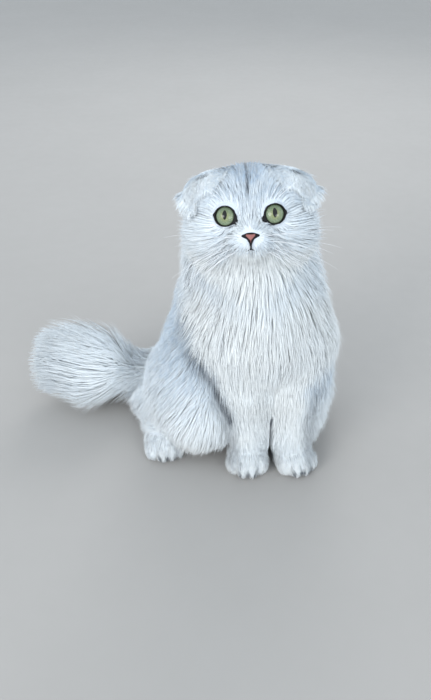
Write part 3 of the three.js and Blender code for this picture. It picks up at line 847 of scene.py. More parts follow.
def lie_at(points, level):
    """The way the coat lies. Round the eyes it turns away from them."""
    spots = Spots(points)
    way = body.lie(spots, level)
    for side in SIDES:
        away = spots.head - eye_on_head(side)
        push = 2.5 * np.exp(-np.maximum(np.linalg.norm(away, axis=1) - EYE_RADIUS, 0) / 3.5)
        way = way + (unit(away) @ HEAD_TURN.T) * push[:, None]
    return unit(way)


def grown(roots, depth, lengths, tip_levels, sway, looseness, steps):
    """The paths of tufts that follow the lie of the coat and rise from the skin to their tips' level.

    Where the lie points out of the body by more than `looseness`, the tufts leave the surface and follow it
    freely, as far as the coat's outline lets them.
    """
    first = SKIN_LEVEL - ROOT_SINK
    points = roots
    path, outs = [], []
    for step in range(steps + 1):
        share = step / steps
        level = (first + (tip_levels - first) * share**1.1).astype(np.float32)
        here, slope = slope_of(lambda p: body.distance(Spots(p), level), points)
        out = unit(slope)
        along = lie_at(points, level)
        rise = (along * out).sum(1, keepdims=True)
        free = ramp(rise, looseness[:, None], looseness[:, None] + 0.3)
        if step == 0:
            lengths = lengths + (depth * (tip_levels - first) - lengths) * free[:, 0]
        correction = (here / np.maximum((slope**2).sum(1), 0.05)).clip(-6, 6)[:, None]
        points = points - slope * correction * (1 - free)
        along = unit(along - out * rise * (1 - free))
        swing = (sway * math.cos(2.6 * share + 0.4))[:, None].astype(np.float32)
        along = along * np.cos(swing) + np.cross(out, along) * np.sin(swing)
        path.append(points)
        outs.append(out)
        stride = lengths / steps
        room = np.maximum(-body.distance(Spots(points), tip_levels.astype(np.float32)), 0.4)
        stride = np.where(rise[:, 0] > looseness, np.minimum(stride, room * 1.1), stride)
        points = points + along * stride[:, None].astype(np.float32)
    return np.stack(path, axis=1), np.stack(outs, axis=1)


def clumped(path, leaders, closeness):
    """Draws the tips of tufts towards the nearest of the leading ones, so that they lie in locks."""
    tree = KDTree(len(leaders))
    for i, root in enumerate(leaders[:, 0]):
        tree.insert(root.tolist(), i)
    tree.balance()
    nearest = np.array([tree.find(root.tolist())[1] for root in path[:, 0]])
    pull = (np.linspace(0, 1, path.shape[1]) ** 1.5)[None, :, None] * closeness[:, None, None]
    return (path + (leaders[nearest] - path) * pull).astype(np.float32)


def brush_opened(path, on_tail):
    """Opens the end of the tail's brush upwards and rounds it off."""
    x, z = path[:, :, 0], path[:, :, 2]
    opening = on_tail[:, None] * ramp(x, *BRUSH_OPENING)
    lifted = opening * np.maximum(z - BRUSH_LOW, 0) * BRUSH_LIFT
    held_back = 0.25 + 0.35 * ramp(z, 70, 105)
    beyond = np.maximum(BRUSH_END - x, 0) * on_tail[:, None] * held_back
    return path + np.stack([beyond, np.zeros_like(x), lifted], axis=2).astype(np.float32)


def above_floor(path, roots, depth):
    """Shortens tufts that would reach the floor; each keeps a gap of its own, wider in a long coat."""
    gap = random.uniform(TUFT_OFF_FLOOR, np.interp(depth, (5, 18), (0.9, 7)))
    tips = path[:, -1, 2]
    fall = np.maximum(roots[:, 2] - tips, 0.01)
    cut = np.where(tips < gap, np.clip((roots[:, 2] - gap) / fall, 0.2, 1), 1)
    path = roots[:, None] + (path - roots[:, None]) * cut[:, None, None].astype(np.float32)
    path[:, :, 2] = np.maximum(path[:, :, 2], TUFT_OFF_FLOOR)
    return path


def in_locks(path, depth, guard):
    """Draws tufts together round leaders picked at random, but less so guard hairs and short coat."""
    leaders = path[random.permutation(len(path))[: len(path) // LOCK_SIZE]]
    closeness = random.uniform(0.04, 0.22, len(path)) * np.where(guard, 0.2, 1)
    closeness *= np.interp(depth, (15, 23, 30, 45), (0.06, 1, 0.9, 0.5))
    return clumped(path, leaders, closeness)


# How wide the tuft is at each of its stations but the tip, for tufts of 2, 3 and 4 steps
PROFILES = {2: (0.8, 0.85), 3: (0.7, 1.0, 0.72), 4: (0.65, 1.0, 0.92, 0.58)}


def add_values(mesh, name, values):
    mesh.attributes.new(name, "FLOAT", "POINT").data.foreach_set("value", values.astype(np.float32))


def add_uv(mesh, name, corner_places):
    mesh.uv_layers.new(name=name).data.foreach_set("uv", corner_places.astype(np.float32).ravel())


def tuft_faces(count, steps):
    """The triangles of closed tufts, each with rings of three points and a point at its tip."""
    sides = ((2, 0), (1, 2), (0, 1))
    last = steps * 3 - 3
    triangles = [(0, 2, 1)]
    for base in range(0, last, 3):
        for i, j in sides:
            triangles += [(base + i, base + j, base + j + 3), (base + i, base + j + 3, base + i + 3)]
    triangles += [(last + i, last + j, last + 3) for i, j in sides]
    starts = np.arange(count)[:, None, None] * (steps * 3 + 1)
    return (starts + np.array(triangles)).reshape(-1, 3)


def tuft_points(path, across, over, widths):
    """Rings of two edges and a keel round all stations but the last, which is the tip."""
    steps = path.shape[1] - 1
    half = (widths[:, None] / 2 * np.array(PROFILES[steps], np.float32))[..., None]
    rise = over[:, :steps] * half * TUFT_THICKNESS * 2
    middle, edge = path[:, :steps], across[:, :steps] * half
    rings = np.stack([middle - edge - rise / 3, middle + edge - rise / 3, middle + rise * 2 / 3], axis=2)
    return np.concatenate([rings.reshape(len(path), steps * 3, 3), path[:, -1:]], axis=1).reshape(-1, 3)


def tuft_normals(outs, along, across, disorder, forwards):
    """Normals that follow the skin below, with some disorder; `forwards` leans them towards the tips."""
    count, stations = outs.shape[:2]
    steps = stations - 1
    tilt = random.normal(0, disorder, (count, 1, 3)).astype(np.float32)
    lean = along * (forwards * np.linspace(0, 1, stations)[None, :, None])
    upward, sideways = outs[:, :steps] + tilt + lean[:, :steps], across[:, :steps] * 0.2
    soft = np.stack([unit(upward - sideways), unit(upward + sideways), unit(upward)], axis=2)
    tips = unit(outs[:, -1:] + tilt + along[:, -1:] * 0.4 + lean[:, -1:])
    return np.concatenate([soft.reshape(count, steps * 3, 3), tips], axis=1).reshape(-1, 3)


def tuft_mesh(name, path, outs, widths, roots_uv, silver, marking, disorder=0.1, forwards=0.0):
    """One mesh of many closed tufts, each with the share of the way to its tip, a tint and its colours."""
    count, stations = path.shape[:2]
    steps = stations - 1
    size = steps * 3 + 1
    along = unit(np.gradient(path, axis=1))
    across = unit(np.cross(outs, along))
    over = unit(np.cross(along, across))
    points = tuft_points(path, across, over, widths)
    normals = tuft_normals(outs, along, across, disorder, forwards)
    faces = tuft_faces(count, steps)
    made = mesh_object(name, points, faces)
    share = np.concatenate([np.repeat(np.arange(steps) / steps, 3), [1.0]])
    aside = np.concatenate([np.tile((-1.0, 1.0, 0.0), steps), [0.0]])
    patch = np.stack([aside, share * 2 - 1], axis=1) * TUFT_PATCH / 2
    add_values(made.data, "hair", np.tile(share, count))
    add_values(made.data, "tint", np.repeat(random.random(count), size))
    add_values(made.data, "silver", np.repeat(silver, size))
    add_values(made.data, "marking", np.repeat(marking, size))
    add_uv(made.data, "OFBake", (roots_uv[:, None, :] + patch[None]).reshape(-1, 2)[faces.ravel()])
    made.data.normals_split_custom_set_from_vertices(normals.astype(np.float64))
    return made


# Where the coat grows
def sampled(points, faces, spacing):
    """Roots spread over triangles, about `spacing` apart, with the number of the triangle of each."""
    first, second, third = (points[faces[:, i]] for i in range(3))
    area = np.linalg.norm(np.cross(second - first, third - first), axis=1) / 2
    counts = (area / spacing**2 + random.random(len(faces))).astype(int)
    chosen = np.repeat(np.arange(len(faces)), counts)
    a, b = random.random((2, len(chosen)))
    over = a + b > 1
    a, b = np.where(over, 1 - a, a), np.where(over, 1 - b, b)
    first, second, third = first[chosen], second[chosen], third[chosen]
    roots = first + a[:, None] * (second - first) + b[:, None] * (third - first)
    return roots.astype(np.float32), chosen


def spacing_for(depth):
    """How far apart tufts grow: the longer the coat, the wider."""
    return np.interp(depth, (1.5, 3, 7, 14, 23, 30, 43), (1.05, 1.15, 1.4, 1.6, 1.85, 1.95, 2.1))


def under_ears(head_spots):
    """Where an ear lies so close to the skull that no hair fits between them."""
    x, y, z = head_spots.T
    covered = np.zeros(len(head_spots), bool)
    v, u = np.meshgrid(np.linspace(0, 0.96, 22), np.linspace(0.06, 0.96, 20))
    for side in SIDES:
        on_side = (x * side > 10) & (y < 20) & (z > 0)
        near = np.flatnonzero(on_side)
        sheet = ear_sheet(u.ravel(), v.ravel()) * vec(side, 1, 1)
        gap = np.linalg.norm(head_spots[near, None] - sheet[None], axis=2).min(axis=1)
        covered[near[gap < EAR_CLEARANCE]] = True
    return covered


def bare(head_spots):
    """Where no hair grows: eyes with their rims, nose leather, line of the mouth and under the ears."""
    hidden = under_ears(head_spots)
    for side in SIDES:
        local, outside = eye_view(head_spots, side)
        hidden |= (outside < 0.3) & (local[:, 2] > 0)
    leather = head_spots - vec(0, -45, -14.5)
    hidden |= (np.hypot(leather[:, 0] / 7.5, leather[:, 2] / 5) < 1) & (np.abs(leather[:, 1]) < 12)
    spots = Spots(on_head(head_spots))
    for groove in MOUTH_GROOVES:
        hidden |= groove.distance(spots, 0) < 0.1
    return hidden


Roots = namedtuple("Roots", "place chart depth uv silver marking")


def some_of(roots, chosen):
    return Roots(*(values[chosen] for values in roots))


def coat_roots(points, faces):
    """The roots of the coat on the skin, with painted shadow as a few dark tips along the lower hem of the long
    coat.
    """
    middles = points[faces].mean(axis=1)
    charts, depths = chart_of(middles), coat_depth(middles)
    place, triangle = sampled(points, faces, spacing_for(depths))
    kept = ~bare(in_head(place)) & (place[:, 2] > 2.5)
    place, triangle = place[kept], triangle[kept]
    chart, depth = charts[triangle], depths[triangle]
    # Painted shadow: a few dark tips where the long coat hangs near the floor
    at_hem = ramp(place[:, 2], 44, 26) * (depth > 12) * (place[:, 0] > -120)
    hem = at_hem * (random.random(len(place)) < 0.1)
    marking = np.maximum(marking_and_shade_at(place), HEM_SHADOW * hem)
    return Roots(place, chart, depth, unwrapped(place, chart), silver_and_shade_at(place), marking)


# How the coat grows there
HANGING = np.array(["tail" in name or "haunch" in name for name in CHART_NAMES])
TAIL_CHART = CHART_NAMES.index("tail")


def tips_of(roots, guard, on_tail, steps):
    """The level of the coat that each tip reaches. Guard hairs and tufts on a crest of the ripple stand out.

    The short tufts have levels of their own, which rise towards the floor, and the tail's are held back.
    """
    count = len(guard)
    tips = random.uniform(0.82, 1.05, count)
    tips += np.where(guard, random.uniform(0.08, 0.42, count), 0)
    if steps == 2:
        tips = random.uniform(0.95, 1.35, count) + 0.35 * ramp(roots.place[:, 2], 40, 25)
    else:
        tips += 0.13 * np.clip(ripple(roots.place, 3.5), 0, 1.5)
    return np.minimum(tips, np.where(on_tail, 1.16, 1.7))


def tufts_on(roots, steps):
    """The paths, outward ways and widths of the tufts that grow on some roots."""
    place, depth, count = roots.place, roots.depth, len(roots.place)
    on_tail = roots.chart == TAIL_CHART
    guard = random.random(count) < (GUARD_SHARE if steps > 2 else 0)
    lengths = (2.4 + 2.0 * depth) * random.uniform(0.8, 1.15, count)
    tips = tips_of(roots, guard, on_tail, steps)
    sway = np.interp(depth, (4, 24), (0.12, 0.34)) * ripple(place) + random.normal(0, 0.13, count)
    looseness = np.where(HANGING[roots.chart], 0.2, 0.7)
    path, outs = grown(place, depth, lengths, tips, sway, looseness, steps)
    if on_tail.any():
        path = brush_opened(path, on_tail)
    path = above_floor(path, place, depth)
    if steps > 2:
        path = in_locks(path, depth, guard)
    # Each root sinks a little further into the skin
    path[:, 0] -= outs[:, 0] * 0.8
    widths = np.interp(depth, (2, 12, 30), (0.75, 0.95, 1.15)) * random.uniform(0.75, 1.15, count)
    return path, outs, widths * np.where(guard, 0.55, 1)


def pieces_of(roots, steps):
    """The roots of each piece: one for each chart, or several from the floor up where a chart has many."""
    limit = PIECE_TRIANGLES // (steps * 6 - 2)
    for number, chart in enumerate(CHART_NAMES):
        mine = np.flatnonzero(roots.chart == number)
        mine = mine[np.argsort(roots.place[mine, 2], kind="stable")]
        for i, chosen in enumerate(np.array_split(mine, max(1, math.ceil(len(mine) / limit)))):
            if len(chosen):
                yield chart, i + 1, chosen


def coat_of(roots, steps, length_word):
    """Coat pieces of one length of tuft."""
    path, outs, widths = tufts_on(roots, steps)
    pieces = []
    for chart, number, chosen in pieces_of(roots, steps):
        piece = tuft_mesh(
            f"coat_{chart}_{length_word}_{number}",
            path[chosen],
            outs[chosen],
            widths[chosen],
            roots.uv[chosen],
            roots.silver[chosen],
            roots.marking[chosen],
            forwards=1.2 if chart == "tail" else 0.0,
        )
        pieces.append(piece)
    return pieces


# The coat of the ears
def ear_paths(side, u, v, lean, lengths, lift):
    """Paths that run tipwards over an ear, turned edgewards by `lean`, and stay out of the head's coat."""
    turn = np.hypot(1, lean)
    path, outs = [], []
    for share in np.linspace(0, 1, 4):
        reach = lengths * share
        depth = EAR_THICKNESS / 2 - 0.4 + reach * lift * (1 - 0.4 * share)
        place, outward = on_ear(side, u + reach * lean / turn / EAR_SPAN, v + reach / turn / EAR_ARC, depth)
        place[:, 2] -= 1.5 * share**2
        here, slope = slope_of(lambda p: body.distance(Spots(p), 0.55 + 0.35 * share), place)
        path.append(place + unit(slope) * np.maximum(-here, 0)[:, None] * share)
        outs.append(outward)
    return np.stack(path, axis=1).astype(np.float32), np.stack(outs, axis=1)


def ear_coat(side, word):
    """Short fur over the fold of an ear, with a fringe on its outer edge and stray hair on its inner one."""
    u, v = random.random(EAR_TUFTS), random.random(EAR_TUFTS) ** 0.9
    kind = random.random(EAR_TUFTS)
    fringe, inner_edge = kind < 0.08, kind > 0.86
    u = np.where(fringe, random.uniform(0.88, 1, EAR_TUFTS), u)
    u = np.where(inner_edge, random.uniform(0, 0.08, EAR_TUFTS), u)
    lean = 0.1 + 0.9 * u**3 - 0.6 * (1 - u) ** 4 + random.normal(0, 0.15, EAR_TUFTS)
    lean += np.where(fringe, 1.4, 0) - np.where(inner_edge, random.uniform(0.2, 1.6, EAR_TUFTS), 0)
    lengths = random.uniform(4, 8, EAR_TUFTS) + 6 * ramp(v, 0.5, 1)
    lift = random.uniform(0.15, 0.5, EAR_TUFTS)
    lengths += np.where(fringe, random.uniform(2, 8, EAR_TUFTS), 0)
    path, outs = ear_paths(side, u, v, lean, lengths, lift)
    # The back of the ear is silver; the band just under the crest is painted shade, and the spots under the fold
    # are painted shadow
    silver = 0.6 * ramp(v, 0.4, 0.33) + 0.4 * ramp(v, 0.44, 0.5) * ramp(v, 0.68, 0.52) + 0.24
    fold_shadow = 1 - ramp(np.hypot((u - 0.42) / 0.2, (v - 0.6) / 0.06), 0.3, 1)
    marking = 0.85 * fold_shadow * (random.random(EAR_TUFTS) < 0.7)
    widths = np.where(fringe, 0.6, 1) * random.uniform(0.8, 1.25, EAR_TUFTS)
    places = ear_uv(side, u, v)
    return tuft_mesh(f"coat_ear_{word}", path, outs, widths, places, silver, marking, disorder=0.14)


# The skin of the body with both ears
def unwrapped_skin(points, faces, ear_start, ear_places):
    """The unwrap of all corners of the skin's faces. The ears' points come last and bring their places."""
    middles = points[faces].mean(axis=1)
    sides = faces.shape[1]
    corners = faces.ravel()
    uv = unwrapped(points[corners], np.repeat(chart_of(middles), sides), np.repeat(middles, sides, axis=0))
    of_ear = corners >= ear_start
    uv[of_ear] = ear_places[corners[of_ear] - ear_start]
    return uv


def make_skin(body_points, body_faces):
    """The skin as one mesh with the ears, which carries the coat's colours."""
    points, faces, ear_places = [body_points], [body_faces], []
    for side in SIDES:
        shell_points, shell_faces, shell_places = ear_shell(side)
        faces.append(shell_faces + sum(map(len, points)))
        points.append(shell_points)
        ear_places.append(shell_places)
    points, faces = np.concatenate(points), np.concatenate(faces)
    made = mesh_object("skin", points, faces)
    add_uv(made.data, "OFBake", unwrapped_skin(points, faces, len(body_points), np.concatenate(ear_places)))
    add_values(made.data, "silver", silver_and_shade_at(points))
    add_values(made.data, "marking", marking_and_shade_at(points))
    add_values(made.data, "hair", np.zeros(len(points)))
    add_values(made.data, "tint", np.full(len(points), 0.5))
    return made


# Make the coat, from short to long tufts, and the skin below it
skin_points, skin_faces = surface_net(skin_distance, *SKIN_BOX, SKIN_CELL)
skin_points = settled(skin_distance, skin_points)
skin_faces = halved(skin_faces)
roots = coat_roots(skin_points, skin_faces)
tuft_steps = np.where(roots.depth < 5, 2, np.where(roots.depth < 24, 3, 4))
coat_pieces = []
for steps, length_word in ((2, "short"), (3, "middle"), (4, "long")):
    coat_pieces += coat_of(some_of(roots, tuft_steps == steps), steps, length_word)
for side, word in SIDE_WORDS:
    coat_pieces.append(ear_coat(side, word))
skin = make_skin(skin_points, skin_faces)


# The nose leather
wing_leather = [head_egg((s * 5.4, -43.6, -13.6), (3.0, 2.8, 1.5), 0) for s in SIDES]
nose_mass = Melted(
    [
        head_egg((0, -44.6, -13.6), (5.8, 4.2, 3.4), 0),
        head_egg((0, -45.2, -16.4), (2.6, 3.6, 3.2), 0),
        *wing_leather,
        Limb((0, -45.6, -18), (0, -45, -22), (1.4, 1.2), (0, 0), of_head=True),
    ],
    NOSE_BLEND,
)
nostrils = [
    Limb((s * 3.7, -49.3, -15.2), (s * 7.4, -46.4, -13.5), (0.75, 0.5), (0, 0), of_head=True) for s in SIDES
]
cleft = Limb((0, -49.6, -15.5), (0, -47.3, -22), (0.35, 0.45), (0, 0), of_head=True)


def nose_distance(points):
    spots = Spots(points)
    gap = nose_mass.distance(spots, 0)
    for hollow in [*nostrils, cleft]:
        gap = -smooth_least(-gap, hollow.distance(spots, 0), NOSTRIL_BLEND)
    return gap


def nose_pink(points):
    """1 on the pink leather, 0 on its black border and wings."""
    x, _, z = in_head(points).T
    half = np.interp(z, (-17.2, -16.2, -14.6, -13.2, -11.6, -10.8), (0.1, 0.8, 2.4, 3.8, 4.2, 2.8))
    return ramp(half - np.abs(x), -0.6, 0.5) * ramp(z, -11.2, -12.3)


nose_middle = on_head((0, -45, -16))
nose_points, nose_faces = surface_net(nose_distance, nose_middle - 13, nose_middle + 13, NOSE_CELL)
nose_points = settled(nose_distance, nose_points)
nose = mesh_object("nose_leather", nose_points, halved(nose_faces))
add_values(nose.data, "pink", nose_pink(nose_points))


# The eyes and their rims
def ringed(rows, closed):
    """Faces between rows of points, each row a closed ring; `closed` joins the last row to the first."""
    count, sides = rows
    grid = np.arange(count * sides).reshape(count, sides)
    following = np.roll(grid, -1, axis=0) if closed else grid[1:]
    this = grid if closed else grid[:-1]
    quads = np.stack([this, following, np.roll(following, -1, axis=1), np.roll(this, -1, axis=1)], axis=-1)
    return halved(quads.reshape(-1, 4))


def eyeball(side, name, rings=44, sides=72):
    """An eye with a bulging cornea, and a map on which its iris lies flat."""
    polar = np.linspace(0, math.pi, rings + 1)[1:-1]
    around = np.arange(sides) * 2 * math.pi / sides
    polar, around = (grid.ravel() for grid in np.meshgrid(polar, around, indexing="ij"))
    polar = np.concatenate([polar, [0, math.pi]])
    around = np.concatenate([around, [0, 0]])
    bulge = EYE_RADIUS * (1 + CORNEA_BULGE * np.clip(1 - polar / 0.9, 0, 1) ** 0.8)
    way = np.stack([np.sin(polar) * np.cos(around), np.sin(polar) * np.sin(around), np.cos(polar)], axis=1)
    last = len(polar) - 1
    first_ring = np.arange(sides)
    last_ring = first_ring + (rings - 2) * sides
    front = np.stack([np.full(sides, last - 1), first_ring, np.roll(first_ring, -1)], axis=1)
    rear = np.stack([np.full(sides, last), np.roll(last_ring, -1), last_ring], axis=1)
    faces = np.concatenate([ringed((rings - 1, sides), False), front, rear])
    made = mesh_object(name, on_eye(side, way * bulge[:, None]), faces)
    place = (way[:, :2] * EYE_RADIUS + vec(side * PUPIL_INWARDS, 0)) / IRIS_MAP + 0.5
    place[way[:, 2] < 0] = 0
    add_uv(made.data, "iris_place", place[faces.ravel()])
    return made


# The rim's section: shares of the way from the iris to the outline, and heights over the eye's middle
RIM_SECTION = [
    (0, 6.9), (0.02, 7.9), (0.25, 8.35), (0.7, 8.3), (0.98, 7.7), (1.04, 6.4), (0.6, 5), (0.1, 5.4)
]


def eye_rim(side, name, sides=128):
    """The dark rim: a closed ring whose section runs from the eyeball out to the outline."""
    angle = np.arange(sides) * 2 * math.pi / sides
    rows = []
    for share, height in RIM_SECTION:
        radius = IRIS_RADIUS + (rim_radius(angle) - IRIS_RADIUS) * share
        across = side * radius * np.cos(angle)
        rows.append(np.stack([across, radius * np.sin(angle), np.full(sides, height)], axis=1))
    faces = ringed((len(RIM_SECTION), sides), True)
    return mesh_object(name, on_eye(side, np.concatenate(rows)), faces if side > 0 else faces[:, ::-1])


# The dark line of the mouth
def tapered(line, radii, sides=8, stations=14):
    """A closed, round, tapering strip along a smooth line of head points."""
    line = np.array(line, np.float32)
    place = np.linspace(0, len(line) - 1, stations)
    columns = [np.interp(place, range(len(line)), line[:, i]) for i in range(3)]
    middle = np.stack(columns, axis=1)
    middle[1:-1] = (middle[:-2] + 2 * middle[1:-1] + middle[2:]) / 4
    along = unit(np.gradient(middle, axis=0))
    first = unit(np.cross(along, vec(0.3, 1, 0.2)))
    second = np.cross(along, first)
    radius = np.interp(np.linspace(0, 1, stations), np.linspace(0, 1, len(radii)), radii)[:, None, None]
    angle = (np.arange(sides) * 2 * math.pi / sides)[None, :, None]
    rings = middle[:, None] + radius * (np.cos(angle) * first[:, None] + np.sin(angle) * second[:, None])
    count = stations * sides
    start = np.stack([np.full(sides, count), np.roll(np.arange(sides), -1), np.arange(sides)], axis=1)
    last = np.arange(sides) + count - sides
    end = np.stack([np.full(sides, count + 1), last, np.roll(last, -1)], axis=1)
    faces = np.concatenate([ringed((stations, sides), False), start, end])
    return np.concatenate([rings.reshape(-1, 3), middle[:1], middle[-1:]]), faces


def joined(name, parts):
    """One mesh from several lists of head points and their faces."""
    points, faces, start = [], [], 0
    for some_points, some_faces in parts:
        points.append(some_points)
        faces.append(some_faces + start)
        start += len(some_points)
    return mesh_object(name, on_head(np.concatenate(points)), np.concatenate(faces))


lip_cleft = tapered([(0, -48.6, -19), (0, -48.2, -22), (0, -46.8, -25.5)], (0.5, 0.65, 0.75))
lip_sides = [[(0, -46.6, -25), (s * 2.4, -45.5, -26.6), (s * 5, -42.4, -28.2)] for s in SIDES]
mouth = joined("mouth_line", [lip_cleft, *[tapered(line, (0.6, 0.5, 0.2)) for line in lip_sides]])


# Whiskers, from thin lines, by Geometry Nodes
def bent_line(start, way, reach, bend, steps):
    """Points along a hair that leaves its root in one way and is bent more and more towards its tip."""
    shares = [i / steps for i in range(steps + 1)]
    return [start + way * reach * share + vec(*bend) * reach * share**2 for share in shares]


def cheek_whiskers(side):
    """Four rows of four whiskers, which fan out and droop."""
    for row in range(4):
        for column in range(4):
            across = side * (10 + 3.2 * column)
            start = vec(across, -42.2 + 1.9 * column + 0.4 * row, -15.5 - 3.6 * row - 0.5 * column)
            reach = random.uniform(48, 72) * (0.75 + 0.1 * column)
            way = unit(vec(side * random.uniform(0.9, 1.1), -0.1 + 0.16 * column, 0.2 - 0.22 * row))
            yield bent_line(start, way, reach, (0, 0.18, -random.uniform(0.18, 0.34)), 12)


def brow_whiskers(side):
    """Four short whiskers over an eye."""
    for i in range(4):
        start = vec(side * (15 + 3.5 * i), -33.5 + 0.8 * i, 15.2 + 0.6 * i)
        way = unit(vec(side * (0.1 + 0.22 * i), -0.55, 0.8))
        yield bent_line(start, way, random.uniform(20, 30), (side * 0.1, 0.35, -0.1), 8)


def whisker_lines():
    points, edges = [], []
    for side in SIDES:
        for line in [*cheek_whiskers(side), *brow_whiskers(side)]:
            edges += [(len(points) + i, len(points) + i + 1) for i in range(len(line) - 1)]
            points += line
    return on_head(np.array(points, np.float32)), edges


def whisker_tree(material):
    """A round tube along each line, which tapers to its tip."""
    tree = bpy.data.node_groups.new("whiskers_along_lines", "GeometryNodeTree")
    tree.interface.new_socket("Lines", in_out="INPUT", socket_type="NodeSocketGeometry")
    thickness = tree.interface.new_socket("Root radius", in_out="INPUT", socket_type="NodeSocketFloat")
    sides = tree.interface.new_socket("Sides", in_out="INPUT", socket_type="NodeSocketInt")
    tree.interface.new_socket("Whiskers", in_out="OUTPUT", socket_type="NodeSocketGeometry")
    add = tree.nodes.new
    given, result = add("NodeGroupInput"), add("NodeGroupOutput")
    curve = add("GeometryNodeMeshToCurve")
    share = add("GeometryNodeSplineParameter")
    taper = add("ShaderNodeMapRange")
    taper.inputs["To Min"].default_value = 1
    taper.inputs["To Max"].default_value = 0.12
    radius = add("ShaderNodeMath")
    radius.operation = "MULTIPLY"
    set_radius = add("GeometryNodeSetCurveRadius")
    ring = add("GeometryNodeCurvePrimitiveCircle")
    ring.inputs["Radius"].default_value = 1
    tube = add("GeometryNodeCurveToMesh")
    tube.inputs["Fill Caps"].default_value = True
    smooth = add("GeometryNodeSetShadeSmooth")
    real = add("GeometryNodeRealizeInstances")
    finish = add("GeometryNodeSetMaterial")
    finish.inputs["Material"].default_value = material
    link = tree.links.new
    link(given.outputs["Lines"], curve.inputs["Mesh"])
    link(share.outputs["Factor"], taper.inputs["Value"])
    link(taper.outputs["Result"], radius.inputs[0])
    link(given.outputs["Root radius"], radius.inputs[1])
    link(curve.outputs["Curve"], set_radius.inputs["Curve"])
    link(radius.outputs["Value"], set_radius.inputs["Radius"])
    link(given.outputs["Sides"], ring.inputs["Resolution"])
    link(set_radius.outputs["Curve"], tube.inputs["Curve"])
    link(ring.outputs["Curve"], tube.inputs["Profile Curve"])
    link(radius.outputs["Value"], tube.inputs["Scale"])
    link(tube.outputs["Mesh"], smooth.inputs["Geometry"])
    link(smooth.outputs["Geometry"], real.inputs["Geometry"])
    link(real.outputs["Geometry"], finish.inputs["Geometry"])
    link(finish.outputs["Geometry"], result.inputs["Whiskers"])
    return tree, thickness.identifier, sides.identifier


def make_whiskers(material):
    """The whiskers as one plain mesh."""
    points, edges = whisker_lines()
    mesh = bpy.data.meshes.new("whisker_lines")
    mesh.from_pydata(to_part(points).tolist(), edges, [])
    lines = bpy.data.objects.new("whisker_lines", mesh)
    bpy.context.scene.collection.objects.link(lines)
    tree, thickness, sides = whisker_tree(material)
    modifier = lines.modifiers.new("whiskers", "NODES")
    modifier.node_group = tree
    modifier[thickness] = WHISKER_RADIUS * 0.001
    modifier[sides] = WHISKER_SIDES
    seen = lines.evaluated_get(bpy.context.evaluated_depsgraph_get())
    plain = bpy.data.meshes.new_from_object(seen)
    made = bpy.data.objects.new("whiskers", plain)
    bpy.context.scene.collection.objects.link(made)
    lines.modifiers.remove(modifier)
    bpy.data.objects.remove(lines)
    return made


# Materials
class Nodes:
    """Short calls for the nodes of one tree."""

    def __init__(self, tree):
        self.tree = tree

    def add(self, kind, **inputs):
        node = self.tree.nodes.new(kind)
        for name, value in inputs.items():
            self.give(node, name.replace("_", " "), value)
        return node

    def give(self, node, name, value):
        socket = node.inputs[name]
        if isinstance(value, bpy.types.NodeSocket):
            self.tree.links.new(value, socket)
        elif hasattr(value, "__len__") and len(value) == 3 and socket.type == "RGBA":
            socket.default_value = (*value, 1)
        else:
            socket.default_value = value

    def attribute(self, name):
        node = self.tree.nodes.new("ShaderNodeAttribute")
        node.attribute_name = name
        return node.outputs["Fac"]

    def object_place(self):
        return self.tree.nodes.new("ShaderNodeTexCoord").outputs["Object"]

    def sum(self, operation, *values, clamp=False):
        node = self.tree.nodes.new("ShaderNodeMath")
        node.operation = operation
        node.use_clamp = clamp
        for i, value in enumerate(values):
            self.give(node, i, value)
        return node.outputs[0]

    def mix(self, share, a, b):
        node = self.tree.nodes.new("ShaderNodeMix")
        node.data_type = "RGBA"
        for i, value in ((0, share), (6, a), (7, b)):
            self.give(node, i, value)
        return node.outputs[2]

    def noise(self, place, scale, detail=2.0, stretch=(1, 1, 1)):
        mapping = self.add("ShaderNodeMapping", Vector=place, Scale=stretch)
        noise = self.add("ShaderNodeTexNoise", Vector=mapping.outputs[0], Scale=scale, Detail=detail)
        return noise.outputs["Fac"]

    def spread(self, value, low, high, to_low=0.0, to_high=1.0):
        inputs = {"Value": value, "From_Min": low, "From_Max": high, "To_Min": to_low, "To_Max": to_high}
        node = self.add("ShaderNodeMapRange", **inputs)
        return node.outputs["Result"]


def new_material(name):
    material = bpy.data.materials.new(name)
    material.use_nodes = True
    return material, Nodes(material.node_tree), material.node_tree.nodes["Principled BSDF"]


def shader_group(name, inputs, outputs):
    tree = bpy.data.node_groups.new(name, "ShaderNodeTree")
    for socket, kind, value in inputs:
        made = tree.interface.new_socket(socket, in_out="INPUT", socket_type=kind)
        if value is not None:
            made.default_value = value
    for socket, kind in outputs:
        tree.interface.new_socket(socket, in_out="OUTPUT", socket_type=kind)
    nodes = Nodes(tree)
    return tree, nodes, nodes.add("NodeGroupInput").outputs, nodes.add("NodeGroupOutput")


FLOAT, COLOUR, VECTOR = "NodeSocketFloat", "NodeSocketColor", "NodeSocketVector"

# Colours, as pairs where a noise runs from one to the other
WHITE_HAIR = ((0.915, 0.96, 0.98), (0.935, 0.97, 0.975))
SHADED_HAIR = (0.78, 0.85, 0.92)
WARM_HAIR = (0.9, 0.85, 0.77)
# Painted shade on bare skin and the roots of tufts
BARE_SKIN_SHADE = (0.7, 0.74, 0.79)
# Colours of silver tips and dark tips, also used for painted shade
SILVER_TIPS_AND_SHADE = (0.45, 0.59, 0.75)
DARK_TIPS_AND_SHADE = (0.06, 0.075, 0.1)
BLACK_LEATHER = ((0.003, 0.003, 0.004), (0.012, 0.011, 0.012))
PINK_LEATHER = ((0.38, 0.165, 0.15), (0.28, 0.11, 0.1))
INNER_IRIS = ((0.18, 0.21, 0.09), (0.31, 0.33, 0.16))
OUTER_IRIS = ((0.11, 0.16, 0.09), (0.28, 0.34, 0.23))
IRIS_FLECKS = (0.5, 0.58, 0.4)
